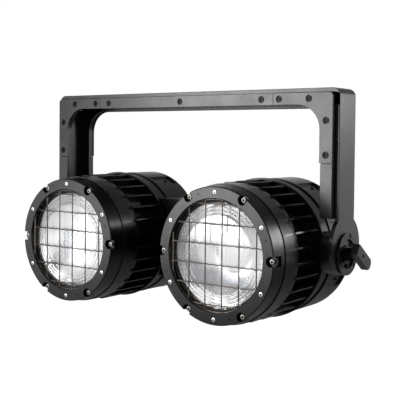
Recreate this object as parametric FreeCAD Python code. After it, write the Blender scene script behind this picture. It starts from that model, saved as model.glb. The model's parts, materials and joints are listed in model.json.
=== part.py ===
"""Strobe light: two round LED lamps joined by a control box, tilting in a hanging yoke.

The origin is the centre of the middle rigging hole, on the top face of the yoke.
+Z is up, +X runs along the yoke's beam and the lamps face -Y. Millimetres.
"""
import FreeCAD, Part
import math
import os

from FreeCAD import Vector

os.makedirs("parts", exist_ok=True)

# General clearances and the overrun of every cut
OVERRUN = 2.0
SEAT_GAP = 0.3
SHAFT_GAP = 0.08

# Yoke
YOKE_DEPTH = 80.0
STRAP_THICK = 7.5
STRAP_INSET = 11.0
STRAP_CORNER = 14.0
PLATE_THICK = 4.5
PLATE_GAP = 0.5
SEAM_GAP = 0.5
ARM_PLATE_WIDTH = 24.4
BEAM_PLATE_HEIGHT = 20.5
REAR_BEAM_EXTRA = 4.0
GUSSET_RADIUS = 43.0
GUSSET_REACH = 115.0
GUSSET_DROP = 119.0
RAIL_DEPTH = 10.0
RAIL_SETBACK = 1.2
RAIL_FOOT_RISE = 61.5
COVER_NARROWING = 2.2
COVER_CORNER = 7.0
COVER_EDGE_RADIUS = 1.5
END_DISC_RADIUS = 51.0
END_DISC_RISE = 15.0
RELIEF_TOP = 9.0
RELIEF_LENGTH = 20.0
RELIEF_DEPTH = 9.0
RELIEF_SKIN = 1.5

# Rigging holes in the beam
CLAMP_HOLE_RADIUS = 6.5
SIDE_HOLE_RADIUS = 5.5
SIDE_HOLE_SPACING = 200.0

# Plate screws
PLATE_SCREW_RADIUS = 2.5
PLATE_SCREW_LENGTH = 9.0
PLATE_HEAD_RADIUS = 4.7
PLATE_HEAD_HEIGHT = 2.6
COUNTERBORE_RADIUS = 5.8
COUNTERBORE_DEPTH = 3.0
CORNER_SCREW_INSET = 45.0
GUSSET_SCREW_INSET = 11.5
BEAM_SCREW_INSET = 24.5
UPPER_ARM_SCREW_DROP = 27.0
LOWER_ARM_SCREW_RISE = 13.8

# Pivots
BOSS_RADIUS = 36.0
BOSS_THICK = 4.0
BOSS_RECESS_RADIUS = 25.0
BOSS_SCREW_CIRCLE = 30.5
BOSS_SCREW_ANGLE = 197.0
BOSS_SCREW_COUNT = 3
RECESS_SCREW_CIRCLE = 20.5
RECESS_SCREW_ANGLE = 38.0
RECESS_SCREW_COUNT = 3
BOSS_HEAD_RADIUS = 3.6
BOSS_HEAD_HEIGHT = 2.6
BOSS_SHANK_RADIUS = 2.0
BOSS_SHANK_LENGTH = 6.0
BOSS_SCREW_POCKET = 4.4
FRICTION_THICK = 2.6
FRICTION_RADIUS = 34.0
HUB_RADIUS = 36.0
SPIGOT_RADIUS = 14.0
HUB_SEAT_GAP = 0.2
STUD_RADIUS = 5.0
STUD_ENGAGEMENT = 24.0
COLLAR_RADIUS = 15.5
COLLAR_THICK = 2.0
LEVER_STEM_SIZE = 17.0
LEVER_STEM_LENGTH = 16.0
LEVER_THICK = 13.0
LEVER_WIDTH = 21.0
LEVER_SHORT_END = 21.0
LEVER_LONG_END = 37.0
LEVER_ANGLE = 35.0
LEVER_CHAMFER = 5.0
LEVER_SLOT_RADIUS = 2.2

# Lamps
LAMP_RADIUS = 124.5
LAMP_GAP = 93.4
ARM_GAP = 24.3
LAMP_DROP = 156.0
FACE_FORWARD = 166.0
BEZEL_STEP = 1.6
BEZEL_TAPER = 2.2
BEZEL_FACE_WIDTH = 21.0
BEZEL_THICK = 6.0
BEZEL_LENGTH = 30.8
BEZEL_WALL = 3.2
BEZEL_CHAMFER = 1.5
SHADOW_GAP = 0.9
NOTCH_RADIUS = 8.4
NOTCH_SCREW_INSET = 5.9
SIDE_SLOT_LENGTH = 21.0
EAR_THICK = 6.0
BEZEL_SCREW_INSET = 9.4
BEZEL_SCREW_COUNT = 6
BEZEL_HEAD_RADIUS = 3.6
BEZEL_HEAD_HEIGHT = 2.0
BEZEL_SHANK_RADIUS = 1.9
BEZEL_SHANK_LENGTH = 9.0
CAPTIVE_HEAD_RADIUS = 4.2
CAPTIVE_HEAD_HEIGHT = 3.4
PIT_RADIUS = 1.3
PIT_DEPTH = 1.5
PIT_ANGLE = 18.0
GRILLE_WIRE_RADIUS = 1.05
GRILLE_PITCH = 33.6
GRILLE_SHIFT_X = -3.0
GRILLE_SHIFT_Z = 1.5
GRILLE_RIM = 7.0
GRILLE_RIM_THICK = 1.0
GRILLE_LIP = 2.0
WELD_SHARE = 0.8
BARREL_SEAT = 5.0
LENS_EDGE_GAP = 0.5
LENS_EDGE = 5.0
LENS_BULGE = 3.0
LENS_LEDGE = 4.5
GASKET_THICK = 2.0
REFLECTOR_THICK = 1.2
REFLECTOR_THROAT = 34.0
REFLECTOR_SECTION_SHARES = ((1.0, 0.0), (0.94, 0.2), (0.83, 0.42), (0.66, 0.64), (0.42, 0.83), (0.0, 1.0))
LED_BOARD_SIZE = 64.0
LED_BOARD_THICK = 2.0
LED_DISC_RADIUS = 28.0
LED_DISC_THICK = 1.5

# Heat sinks
SINK_BAND_INSET = 5.7
SINK_BAND = 30.6
SINK_CUP_WALL = 14.0
SINK_FLOOR = 8.0
SINK_CORE_WALL = 7.0
SHOULDER_STEP = 0.8
SHOULDER_LENGTH = 8.0
RIB_COUNT = 30
RIB_ANGLE = 7.3
RIB_THICK = 3.6
RIB_INSET = 3.0
RIB_HEIGHT = 20.5
RIB_LEAD = 9.0
FLANGE_THICK = 3.4
RIB_END_REAR = 14.6
INNER_FIN_COUNT = 12
INNER_FIN_THICK = 2.5
INNER_HUB_RADIUS = 24.0
SINK_FIN_RECESS = 16.0

# Rear caps
CAP_COLLAR_INSET = 4.5
CAP_COLLAR_LENGTH = 32.0
CAP_GROOVE = 1.0
CAP_INSET = 1.9
CAP_LENGTH = 108.6
CAP_WALL = 6.6
CAP_BACK = 4.0
CAP_EDGE_RADIUS = 5.0
POCKET_COUNT = 8
POCKET_ANGLE = 17.0
POCKET_SWEEP_ANGLE = 13.0
POCKET_LENGTH = 62.0
POCKET_SETBACK = 5.0
POCKET_DEPTH = 4.2
CAP_SCREW_SETBACK = 46.0
CAP_HEAD_RADIUS = 3.4
CAP_HEAD_HEIGHT = 2.0
CAP_SHANK_RADIUS = 1.5
CAP_SHANK_LENGTH = 2.0

# Fans
FAN_OPENING = 60.0
FAN_RIM = 5.0
FAN_RIM_THICK = 3.0
FAN_MOTOR_RADIUS = 19.0
FAN_MOTOR_LENGTH = 10.0
FAN_SHAFT_RADIUS = 3.0
FAN_SHAFT_LENGTH = 24.0
FAN_STRUT_COUNT = 4
FAN_STRUT_WIDTH = 4.0
FAN_STRUT_THICK = 3.0
FAN_RING_COUNT = 3
FAN_RING_WIDTH = 2.0
ROTOR_HUB_RADIUS = 18.0
ROTOR_HUB_LENGTH = 18.0
ROTOR_RADIUS = 56.0
ROTOR_BLADES = 7
ROTOR_BLADE_THICK = 1.8
ROTOR_BLADE_PITCH = 38.0
ROTOR_BLADE_WIDTH = 24.0

# Centre box
BOX_FRONT = 10.0
BOX_REAR = 88.0
BOX_MARGIN = 14.0
BOX_WALL = 3.0
PANEL_THICK = 2.5
DISPLAY_WIDTH = 50.0
DISPLAY_HEIGHT = 24.0
DISPLAY_RISE = 50.0
DISPLAY_DEPTH = 3.5
BUTTON_COUNT = 4
BUTTON_PITCH = 14.0
BUTTON_DROP = 26.0
BUTTON_RADIUS = 4.6
BUTTON_HEIGHT = 3.4
BUTTON_STEM_RADIUS = 2.6
BUTTON_STEM_LENGTH = 9.0
BUTTON_TRAVEL = 1.2
SOCKET_SPACING = 42.0
DATA_DROP = 8.0
POWER_DROP = 40.0
SOCKET_FLANGE_WIDTH = 26.0
SOCKET_FLANGE_HEIGHT = 31.0
SOCKET_FLANGE_THICK = 2.5
SOCKET_BODY_RADIUS = 11.8
SOCKET_BODY_LENGTH = 20.0
DATA_BORE_RADIUS = 8.6
POWER_BORE_RADIUS = 9.6
SOCKET_BORE_DEPTH = 17.0
CONTACT_RADIUS = 1.3
CONTACT_CIRCLE = 4.6
CONTACT_LENGTH = 10.0
DATA_CONTACTS = 5
POWER_CONTACTS = 3

# Places worked out from the sizes above
LAMP_X = LAMP_RADIUS + LAMP_GAP / 2
LAMP_SPACING = 2 * LAMP_X
STRAP_INSIDE = LAMP_X + LAMP_RADIUS + ARM_GAP
STRAP_OUTSIDE = STRAP_INSIDE + STRAP_THICK
STRAP_HALF = YOKE_DEPTH / 2 - STRAP_INSET
PLATE_EDGE = STRAP_INSIDE - PLATE_GAP
PLATE_TOP = -STRAP_THICK - PLATE_GAP
PLATE_CORNER = STRAP_CORNER - STRAP_THICK
BEAM_BOTTOM = PLATE_TOP - BEAM_PLATE_HEIGHT
ARM_INNER = PLATE_EDGE - ARM_PLATE_WIDTH
SCREW_ROW = (PLATE_TOP + BEAM_BOTTOM) / 2
ARM_SCREW_X = PLATE_EDGE - ARM_PLATE_WIDTH / 2
GUSSET_BOTTOM = PLATE_TOP - GUSSET_DROP
GUSSET_SEAM = PLATE_EDGE - GUSSET_REACH
TILT_Z = -LAMP_DROP - LAMP_RADIUS
RAIL_BOTTOM = TILT_Z + RAIL_FOOT_RISE
DISC_Z = TILT_Z + END_DISC_RISE
CAP_RADIUS = LAMP_RADIUS - CAP_INSET
CAP_COLLAR_RADIUS = LAMP_RADIUS - CAP_COLLAR_INSET
RIB_RADIUS = LAMP_RADIUS - RIB_INSET
SINK_CORE_RADIUS = RIB_RADIUS - RIB_HEIGHT
SINK_FRONT_RADIUS = LAMP_RADIUS - SINK_BAND_INSET
SHOULDER_RADIUS = SINK_FRONT_RADIUS - SHOULDER_STEP
BEZEL_REAR_RADIUS = SINK_FRONT_RADIUS - BEZEL_STEP
BEZEL_RADIUS = BEZEL_REAR_RADIUS - BEZEL_TAPER
BEZEL_OPENING = BEZEL_RADIUS - BEZEL_FACE_WIDTH
BEZEL_SCREW_CIRCLE = BEZEL_RADIUS - BEZEL_SCREW_INSET
NOTCH_SCREW_CIRCLE = BEZEL_RADIUS - NOTCH_SCREW_INSET
LENS_RADIUS = BEZEL_OPENING - LENS_EDGE_GAP
FACE_Y = -FACE_FORWARD
BEZEL_REAR = FACE_Y + BEZEL_LENGTH
GRILLE_Y = FACE_Y + BEZEL_THICK
SINK_FRONT = BEZEL_REAR + SHADOW_GAP
RIB_START = SINK_FRONT + SINK_BAND
SINK_REAR = -RIB_END_REAR
SINK_CUP_FLOOR = RIB_START
CAP_REAR = SINK_REAR + CAP_LENGTH
CAP_STEP = SINK_REAR + CAP_COLLAR_LENGTH
LENS_FRONT = GRILLE_Y + BARREL_SEAT + GASKET_THICK
LENS_REAR = LENS_FRONT + LENS_EDGE
BOX_HALF_HEIGHT = DISPLAY_RISE + DISPLAY_HEIGHT / 2 + BOX_MARGIN
BOX_HALF_WIDTH = LAMP_X - math.sqrt(CAP_RADIUS ** 2 - BOX_HALF_HEIGHT ** 2)
BUTTON_STANDOFF = BUTTON_TRAVEL + 2 * SEAT_GAP
HUB_END = STRAP_INSIDE - FRICTION_THICK - SEAT_GAP
PANEL_REAR = BOX_REAR + PANEL_THICK
X_AXIS = Vector(1, 0, 0)
Y_AXIS = Vector(0, 1, 0)
Z_AXIS = Vector(0, 0, 1)


def save(name, shape):
    """Write one piece, or one group of like pieces, and print what it holds."""
    shape.exportStep("parts/" + name + ".step")
    print(name, len(shape.Solids), "solids", round(shape.Volume), "mm3", shape.isValid())


def cylinder(radius, length, start, axis):
    """A round bar from its start point along an axis."""
    return Part.makeCylinder(radius, length, start, axis)


def tube(outer, inner, length, start, axis):
    """A round bar with a bore right through it."""
    bore_start = start - axis * OVERRUN
    return cylinder(outer, length, start, axis).cut(cylinder(inner, length + 2 * OVERRUN, bore_start, axis))


def block(x0, x1, y0, y1, z0, z1):
    """A square-edged block between two opposite corners."""
    return Part.makeBox(x1 - x0, y1 - y0, z1 - z0, Vector(x0, y0, z0))


def joined(shapes):
    """All shapes as one solid."""
    first = shapes[0]
    return first.fuse(shapes[1:]).removeSplitter() if len(shapes) > 1 else first


def outline(corners):
    """A closed face in the XZ plane from (x, z, corner radius) points, with the corners rounded."""
    edges = []
    ends = []
    count = len(corners)
    for i in range(count):
        x, z, radius = corners[i]
        here = Vector(x, 0, z)
        before = (Vector(corners[i - 1][0], 0, corners[i - 1][1]) - here).normalize()
        after = (Vector(corners[(i + 1) % count][0], 0, corners[(i + 1) % count][1]) - here).normalize()
        if radius == 0:
            ends.append((here, here, None))
            continue
        half_turn = before.getAngle(after) / 2
        reach = radius / math.tan(half_turn)
        middle = (before + after).normalize()
        crown = here + middle * (radius / math.sin(half_turn) - radius)
        ends.append((here + before * reach, here + after * reach, crown))
    for i in range(count):
        first, last, crown = ends[i]
        if crown is not None:
            edges.append(Part.Arc(first, crown, last).toShape())
        following = ends[(i + 1) % count][0]
        edges.append(Part.LineSegment(last, following).toShape())
    return Part.Face(Part.Wire(edges))


def slab(corners, y0, y1):
    """A plate of a given outline between two Y planes."""
    face = outline(corners)
    face.translate(Vector(0, y0, 0))
    return face.extrude(Vector(0, y1 - y0, 0))


def mirrored_x(shape):
    """The same piece on the other side of the object."""
    return shape.mirror(Vector(0, 0, 0), X_AXIS)


def mirrored_y(shape):
    """The same piece at the rear instead of the front."""
    return shape.mirror(Vector(0, 0, 0), Y_AXIS)


def on_left_lamp(shape):
    """A copy of a right lamp's piece, moved to the left lamp."""
    copy = shape.copy()
    copy.translate(Vector(-LAMP_SPACING, 0, 0))
    return copy


def sided(shape, side):
    """A piece modelled for the right side, put on the side asked for."""
    return shape if side > 0 else mirrored_x(shape)


def screw(head_radius, head_height, shank_radius, shank_length, seat, out):
    """A socket screw whose head sits on the seat point and points along out."""
    head = cylinder(head_radius, head_height, seat, out)
    shank = cylinder(shank_radius, shank_length, seat, out * -1)
    socket = cylinder(head_radius / 2, head_height * 2, seat + out * (head_height / 2), out)
    return head.fuse(shank).cut(socket)


def around(count, start=0.0):
    """Equal angles in degrees round a circle."""
    return [start + i * 360.0 / count for i in range(count)]


def on_circle(radius, degrees):
    """The point at an angle on a circle, as two coordinates."""
    turn = math.radians(degrees)
    return radius * math.cos(turn), radius * math.sin(turn)


# Yoke

def strap_corners(outside, top, corner, inside, under, inner_corner, bottom):
    """The outline of an inverted U between an outer and an inner edge."""
    return [(-outside, bottom, 0), (-outside, top, corner), (outside, top, corner), (outside, bottom, 0),
            (inside, bottom, 0), (inside, under, inner_corner), (-inside, under, inner_corner),
            (-inside, bottom, 0)]


def yoke_strap():
    """The bent flat bar with round arm ends, the rigging holes and the pivot bores."""
    corners = strap_corners(STRAP_OUTSIDE, 0, STRAP_CORNER, STRAP_INSIDE, -STRAP_THICK, PLATE_CORNER, DISC_Z)
    pieces = [slab(corners, -STRAP_HALF, STRAP_HALF)]
    for side in (-1, 1):
        start = Vector(side * STRAP_INSIDE, 0, DISC_Z)
        pieces.append(cylinder(END_DISC_RADIUS, STRAP_THICK, start, X_AXIS * side))
    strap = joined(pieces)
    for side in (-1, 1):
        strap = strap.cut(corner_relief(side))
    for x, radius in rigging_holes():
        strap = strap.cut(cylinder(radius, STRAP_THICK + 2 * OVERRUN, Vector(x, 0, OVERRUN), Z_AXIS * -1))
    for side in (-1, 1):
        start = Vector(side * (STRAP_INSIDE - OVERRUN), 0, TILT_Z)
        through = STRAP_THICK + 2 * OVERRUN
        strap = strap.cut(cylinder(SPIGOT_RADIUS + SHAFT_GAP, through, start, X_AXIS * side))
        for seat in boss_screw_seats(side) + recess_screw_seats(side):
            hole = cylinder(BOSS_SHANK_RADIUS + SHAFT_GAP, through + BOSS_THICK, seat, X_AXIS * -side)
            strap = strap.cut(hole)
    return strap


def corner_relief(side):
    """The pockets in the edges of one arm below its bend, closed by a thin skin on the outside."""
    inner = STRAP_INSIDE - OVERRUN
    outer = STRAP_OUTSIDE - RELIEF_SKIN
    edge = -STRAP_HALF - OVERRUN
    front = block(inner, outer, edge, RELIEF_DEPTH - STRAP_HALF, -RELIEF_TOP - RELIEF_LENGTH, -RELIEF_TOP)
    return sided(front.fuse(mirrored_y(front)), side)


def rigging_holes():
    """The places and radii of the holes along the top of the beam."""
    half = SIDE_HOLE_SPACING / 2
    return [(0, CLAMP_HOLE_RADIUS), (-half, SIDE_HOLE_RADIUS), (half, SIDE_HOLE_RADIUS)]


def plate_screw_places():
    """Every plate screw as (x, z), for one face of the yoke."""
    places = [(0, SCREW_ROW)]
    for side in (-1, 1):
        seam = GUSSET_SEAM
        for x in (seam - BEAM_SCREW_INSET, seam + GUSSET_SCREW_INSET, PLATE_EDGE - CORNER_SCREW_INSET):
            places.append((side * x, SCREW_ROW))
        for z in (BEAM_BOTTOM - UPPER_ARM_SCREW_DROP, GUSSET_BOTTOM + LOWER_ARM_SCREW_RISE):
            places.append((side * ARM_SCREW_X, z))
    return places


def plate_screw_seat():
    """The Y plane on which the front screw heads sit."""
    return -YOKE_DEPTH / 2 + COUNTERBORE_DEPTH


def drilled_plate(plate):
    """Counterbores and clearance holes wherever a screw falls inside the plate."""
    front = -YOKE_DEPTH / 2
    for x, z in plate_screw_places():
        plate = plate.cut(cylinder(COUNTERBORE_RADIUS, COUNTERBORE_DEPTH, Vector(x, front, z), Y_AXIS))
        clearance = PLATE_SCREW_RADIUS + SHAFT_GAP
        plate = plate.cut(cylinder(clearance, PLATE_THICK + OVERRUN, Vector(x, front, z), Y_AXIS))
    return plate


def yoke_rail(extra):
    """A front bar of the yoke, welded inside the strap, with tapped holes for the plates."""
    inner = ARM_INNER + RAIL_SETBACK
    under = BEAM_BOTTOM + RAIL_SETBACK - extra
    corners = strap_corners(STRAP_INSIDE, -STRAP_THICK, PLATE_CORNER + RAIL_SETBACK,
                            inner, under, GUSSET_RADIUS, RAIL_BOTTOM)
    front = -YOKE_DEPTH / 2 + PLATE_THICK
    rail = slab(corners, front, front + RAIL_DEPTH)
    for x, z in plate_screw_places():
        hole = cylinder(PLATE_SCREW_RADIUS + SHAFT_GAP, RAIL_DEPTH + 2 * OVERRUN,
                        Vector(x, front - OVERRUN, z), Y_AXIS)
        rail = rail.cut(hole)
    return rail


def gusset(extra):
    """The right front corner plate, with its large inner radius."""
    bottom = BEAM_BOTTOM - extra
    corners = [(GUSSET_SEAM, PLATE_TOP, 0), (PLATE_EDGE, PLATE_TOP, PLATE_CORNER),
               (PLATE_EDGE, GUSSET_BOTTOM, 0), (ARM_INNER, GUSSET_BOTTOM, 0),
               (ARM_INNER, bottom, GUSSET_RADIUS), (GUSSET_SEAM, bottom, 0)]
    front = -YOKE_DEPTH / 2
    return drilled_plate(slab(corners, front, front + PLATE_THICK))


def beam_plate(extra):
    """The long front plate between the two gussets."""
    end = GUSSET_SEAM - SEAM_GAP
    bottom = BEAM_BOTTOM - extra
    corners = [(-end, PLATE_TOP, 0), (end, PLATE_TOP, 0), (end, bottom, 0), (-end, bottom, 0)]
    front = -YOKE_DEPTH / 2
    return drilled_plate(slab(corners, front, front + PLATE_THICK))


def arm_cover():
    """The right front cover of the lower arm, narrower inside and rounded at its foot."""
    top = GUSSET_BOTTOM - SEAM_GAP
    inner = ARM_INNER + COVER_NARROWING
    corners = [(inner, top, COVER_EDGE_RADIUS), (PLATE_EDGE, top, COVER_EDGE_RADIUS),
               (PLATE_EDGE, RAIL_BOTTOM, COVER_EDGE_RADIUS), (inner, RAIL_BOTTOM, COVER_CORNER)]
    front = -YOKE_DEPTH / 2
    return slab(corners, front, front + PLATE_THICK)


def plate_screws():
    """Every screw that holds the plates, front and rear."""
    screws = []
    for x, z in plate_screw_places():
        front = screw(PLATE_HEAD_RADIUS, PLATE_HEAD_HEIGHT, PLATE_SCREW_RADIUS, PLATE_SCREW_LENGTH,
                      Vector(x, plate_screw_seat(), z), Y_AXIS * -1)
        screws.append(front)
        screws.append(mirrored_y(front))
    return Part.makeCompound(screws)


def make_yoke():
    """Write the pieces of the yoke."""
    save("yoke_strap", yoke_strap())
    save("rail_front", yoke_rail(0))
    save("rail_rear", mirrored_y(yoke_rail(REAR_BEAM_EXTRA)))
    save("beam_plate_front", beam_plate(0))
    save("beam_plate_rear", mirrored_y(beam_plate(REAR_BEAM_EXTRA)))
    for side, word in ((-1, "left"), (1, "right")):
        save("gusset_front_" + word, sided(gusset(0), side))
        save("gusset_rear_" + word, mirrored_y(sided(gusset(REAR_BEAM_EXTRA), side)))
        save("arm_cover_front_" + word, sided(arm_cover(), side))
        save("arm_cover_rear_" + word, mirrored_y(sided(arm_cover(), side)))
    save("plate_screws", plate_screws())


# Pivots

def ring_seats(side, circle, count, turn, x):
    """Screw seats on a circle round the tilt axis, on a plane of constant X."""
    seats = []
    for degrees in around(count, turn):
        y, z = on_circle(circle, degrees)
        seats.append(Vector(side * x, y, TILT_Z + z))
    return seats


def boss_screw_seats(side):
    """Where the heads of the boss screws sit, in the pockets of the boss."""
    seat = STRAP_OUTSIDE + BOSS_THICK / 4
    return ring_seats(side, BOSS_SCREW_CIRCLE, BOSS_SCREW_COUNT, BOSS_SCREW_ANGLE, seat)


def recess_screw_seats(side):
    """Where the heads of the recess screws sit, on the arm itself."""
    return ring_seats(side, RECESS_SCREW_CIRCLE, RECESS_SCREW_COUNT, RECESS_SCREW_ANGLE, STRAP_OUTSIDE)


def pivot_boss():
    """The raised ring on the outside of the right arm end."""
    boss = tube(BOSS_RADIUS, BOSS_RECESS_RADIUS, BOSS_THICK, Vector(STRAP_OUTSIDE, 0, TILT_Z), X_AXIS)
    for seat in boss_screw_seats(1):
        boss = boss.cut(cylinder(BOSS_SCREW_POCKET, BOSS_THICK, seat, X_AXIS))
        boss = boss.cut(cylinder(BOSS_SHANK_RADIUS + SHAFT_GAP, BOSS_THICK, seat, X_AXIS * -1))
    return boss


def boss_screws():
    """The screws of both bosses and of both friction discs."""
    screws = []
    for side in (-1, 1):
        for seat in boss_screw_seats(side) + recess_screw_seats(side):
            screws.append(screw(BOSS_HEAD_RADIUS, BOSS_HEAD_HEIGHT, BOSS_SHANK_RADIUS, BOSS_SHANK_LENGTH,
                                seat, X_AXIS * side))
    return Part.makeCompound(screws)


def friction_discs():
    """The lining between each arm and the lamp hub, round the hub's spigot."""
    discs = []
    for side in (-1, 1):
        start = Vector(side * STRAP_INSIDE, 0, TILT_Z)
        discs.append(tube(FRICTION_RADIUS, SPIGOT_RADIUS + SHAFT_GAP, FRICTION_THICK, start, X_AXIS * -side))
    return Part.makeCompound(discs)


def collar_face():
    """The X plane on which the lever's collar bears, just clear of the arm."""
    return STRAP_OUTSIDE + SEAT_GAP


def lever_stud():
    """The right clamp stud: a threaded rod into the hub, with a collar that bears on the arm."""
    collar = cylinder(COLLAR_RADIUS, COLLAR_THICK, Vector(collar_face(), 0, TILT_Z), X_AXIS)
    reach = collar_face() - (HUB_END - STUD_ENGAGEMENT)
    rod = cylinder(STUD_RADIUS, reach, Vector(collar_face() - reach, 0, TILT_Z), X_AXIS)
    return collar.fuse(rod)


def lever():
    """The right clamp lever: a square stem and a flat bar set across it."""
    stem_start = collar_face() + COLLAR_THICK
    half = LEVER_STEM_SIZE / 2
    bar_start = stem_start + LEVER_STEM_LENGTH
    stem = block(stem_start, bar_start, -half, half, -half, half)
    top = LEVER_WIDTH / 2
    corners = [(-LEVER_SHORT_END, -top), (LEVER_LONG_END - LEVER_CHAMFER, -top),
               (LEVER_LONG_END, LEVER_CHAMFER - top), (LEVER_LONG_END, top - LEVER_CHAMFER),
               (LEVER_LONG_END - LEVER_CHAMFER, top), (-LEVER_SHORT_END, top)]
    points = [Vector(bar_start, y, z) for y, z in corners]
    bar = Part.Face(Part.makePolygon(points + points[:1])).extrude(Vector(LEVER_THICK, 0, 0))
    slot_y = LEVER_SLOT_RADIUS
    slot = cylinder(LEVER_SLOT_RADIUS, LEVER_THICK, Vector(bar_start + LEVER_THICK / 2, slot_y, 0), X_AXIS)
    handle = stem.fuse(bar).removeSplitter().cut(slot)
    handle.rotate(Vector(0, 0, 0), X_AXIS, -LEVER_ANGLE)
    handle.translate(Vector(0, 0, TILT_Z))
    return handle


def make_pivots():
    """Write the pieces of both pivots."""
    for side, word in ((-1, "left"), (1, "right")):
        save("pivot_boss_" + word, sided(pivot_boss(), side))
        save("lever_stud_" + word, sided(lever_stud(), side))
        save("lever_" + word, sided(lever(), side))
    save("boss_screws", boss_screws())
    save("friction_discs", friction_discs())


# Lamps

def lamp_point(x, y, z):
    """A point given from the right lamp's axis."""
    return Vector(LAMP_X + x, y, TILT_Z + z)


def revolved(points, crowns=()):
    """A solid turned round the right lamp's axis from (radius, y) points.

    A crown is a (radius, y) point on the arc that takes the place of the line after the
    point with its number.
    """
    corners = [lamp_point(radius, y, 0) for radius, y in points]
    edges = [Part.LineSegment(corners[i - 1], corners[i]).toShape() for i in range(1, len(corners))]
    edges.append(Part.LineSegment(corners[-1], corners[0]).toShape())
    for number, (radius, y) in crowns:
        arc = Part.Arc(corners[number], lamp_point(radius, y, 0), corners[number + 1])
        edges[number] = arc.toShape()
    return Part.Face(Part.Wire(edges)).revolve(lamp_point(0, 0, 0), Y_AXIS, 360)


def bezel_screw_angles():
    """The six flush screws of the bezel."""
    return around(BEZEL_SCREW_COUNT, 90.0 / 3)


def notch_angles():
    """The six notched captive screws, between the flush ones."""
    return around(BEZEL_SCREW_COUNT)


def side_slot_angles():
    """The two notches that run on back along the skirt, at the lamp's sides."""
    return around(2)


def bezel():
    """The front ring with its skirt, its rim notches, its screw holes and four small pits."""
    inside = BEZEL_RADIUS - BEZEL_WALL
    ring = revolved([(BEZEL_OPENING, FACE_Y + BEZEL_CHAMFER), (BEZEL_OPENING + BEZEL_CHAMFER, FACE_Y),
                     (BEZEL_RADIUS - BEZEL_CHAMFER, FACE_Y), (BEZEL_RADIUS, FACE_Y + BEZEL_CHAMFER),
                     (BEZEL_REAR_RADIUS, BEZEL_REAR), (inside, BEZEL_REAR), (inside, GRILLE_Y),
                     (BEZEL_OPENING, GRILLE_Y)])
    front = FACE_Y - OVERRUN
    for degrees in notch_angles():
        x, z = on_circle(NOTCH_SCREW_CIRCLE, degrees)
        rear = ear_front() + EAR_THICK + SEAT_GAP
        ring = ring.cut(cylinder(NOTCH_RADIUS, rear - front, lamp_point(x, front, z), Y_AXIS))
    outer = BEZEL_REAR_RADIUS + OVERRUN
    for degrees in side_slot_angles():
        ring = ring.cut(radial_block(NOTCH_SCREW_CIRCLE, outer, 2 * NOTCH_RADIUS, front,
                                     FACE_Y + SIDE_SLOT_LENGTH, degrees))
    for degrees in bezel_screw_angles():
        x, z = on_circle(BEZEL_SCREW_CIRCLE, degrees)
        start = lamp_point(x, FACE_Y, z)
        ring = ring.cut(cylinder(BEZEL_HEAD_RADIUS + SEAT_GAP, BEZEL_HEAD_HEIGHT, start, Y_AXIS))
        ring = ring.cut(cylinder(BEZEL_SHANK_RADIUS + SHAFT_GAP, BEZEL_THICK + OVERRUN, start, Y_AXIS))
    for degrees in around(4, PIT_ANGLE):
        x, z = on_circle(BEZEL_SCREW_CIRCLE, degrees)
        ring = ring.cut(cylinder(PIT_RADIUS, PIT_DEPTH, lamp_point(x, FACE_Y, z), Y_AXIS))
    return ring


def bezel_screws():
    """The flush screws of both bezels."""
    screws = []
    for degrees in bezel_screw_angles():
        x, z = on_circle(BEZEL_SCREW_CIRCLE, degrees)
        seat = lamp_point(x, FACE_Y + BEZEL_HEAD_HEIGHT, z)
        one = screw(BEZEL_HEAD_RADIUS, BEZEL_HEAD_HEIGHT, BEZEL_SHANK_RADIUS, BEZEL_SHANK_LENGTH,
                    seat, Y_AXIS * -1)
        screws.extend([one, on_left_lamp(one)])
    return Part.makeCompound(screws)


def captive_screws():
    """The captive screws in the notches of both bezels."""
    screws = []
    for degrees in notch_angles():
        x, z = on_circle(NOTCH_SCREW_CIRCLE, degrees)
        one = screw(CAPTIVE_HEAD_RADIUS, CAPTIVE_HEAD_HEIGHT, BEZEL_SHANK_RADIUS, BEZEL_SHANK_LENGTH,
                    lamp_point(x, ear_front(), z), Y_AXIS * -1)
        screws.extend([one, on_left_lamp(one)])
    return Part.makeCompound(screws)


def ear_front():
    """The Y plane on which the captive screws bear, inside the bezel's notches."""
    return GRILLE_Y + CAPTIVE_HEAD_HEIGHT / 2


def lens_barrel():
    """The black wall inside the bezel that seats the lens and takes the bezel screws."""
    outside = BEZEL_RADIUS - BEZEL_WALL - SEAT_GAP
    front = GRILLE_Y + GRILLE_RIM_THICK
    bore = BEZEL_OPENING
    ledge = LENS_RADIUS - LENS_LEDGE
    barrel = revolved([(bore, front), (outside, front), (outside, SINK_FRONT), (ledge, SINK_FRONT),
                       (ledge, LENS_REAR), (bore, LENS_REAR)])
    for degrees in notch_angles():
        x, z = on_circle(NOTCH_SCREW_CIRCLE, degrees)
        start = lamp_point(x, front - OVERRUN, z)
        barrel = barrel.cut(cylinder(NOTCH_RADIUS, ear_front() - front + OVERRUN, start, Y_AXIS))
        barrel = barrel.fuse(ear(x, z))
        hole = cylinder(BEZEL_SHANK_RADIUS + SHAFT_GAP, BEZEL_SHANK_LENGTH + OVERRUN,
                        lamp_point(x, ear_front(), z), Y_AXIS)
        barrel = barrel.cut(hole)
    for degrees in bezel_screw_angles():
        x, z = on_circle(BEZEL_SCREW_CIRCLE, degrees)
        hole = cylinder(BEZEL_SHANK_RADIUS + SHAFT_GAP, BEZEL_SHANK_LENGTH + OVERRUN,
                        lamp_point(x, FACE_Y + BEZEL_HEAD_HEIGHT, z), Y_AXIS)
        barrel = barrel.cut(hole)
    return barrel.removeSplitter()


def ear(x, z):
    """One ear of the lens barrel, filling a notch of the bezel behind the captive screw's head."""
    disc = cylinder(NOTCH_RADIUS - SEAT_GAP, EAR_THICK, lamp_point(x, ear_front(), z), Y_AXIS)
    return disc.common(cylinder(BEZEL_RADIUS, EAR_THICK, lamp_point(0, ear_front(), 0), Y_AXIS))


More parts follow.
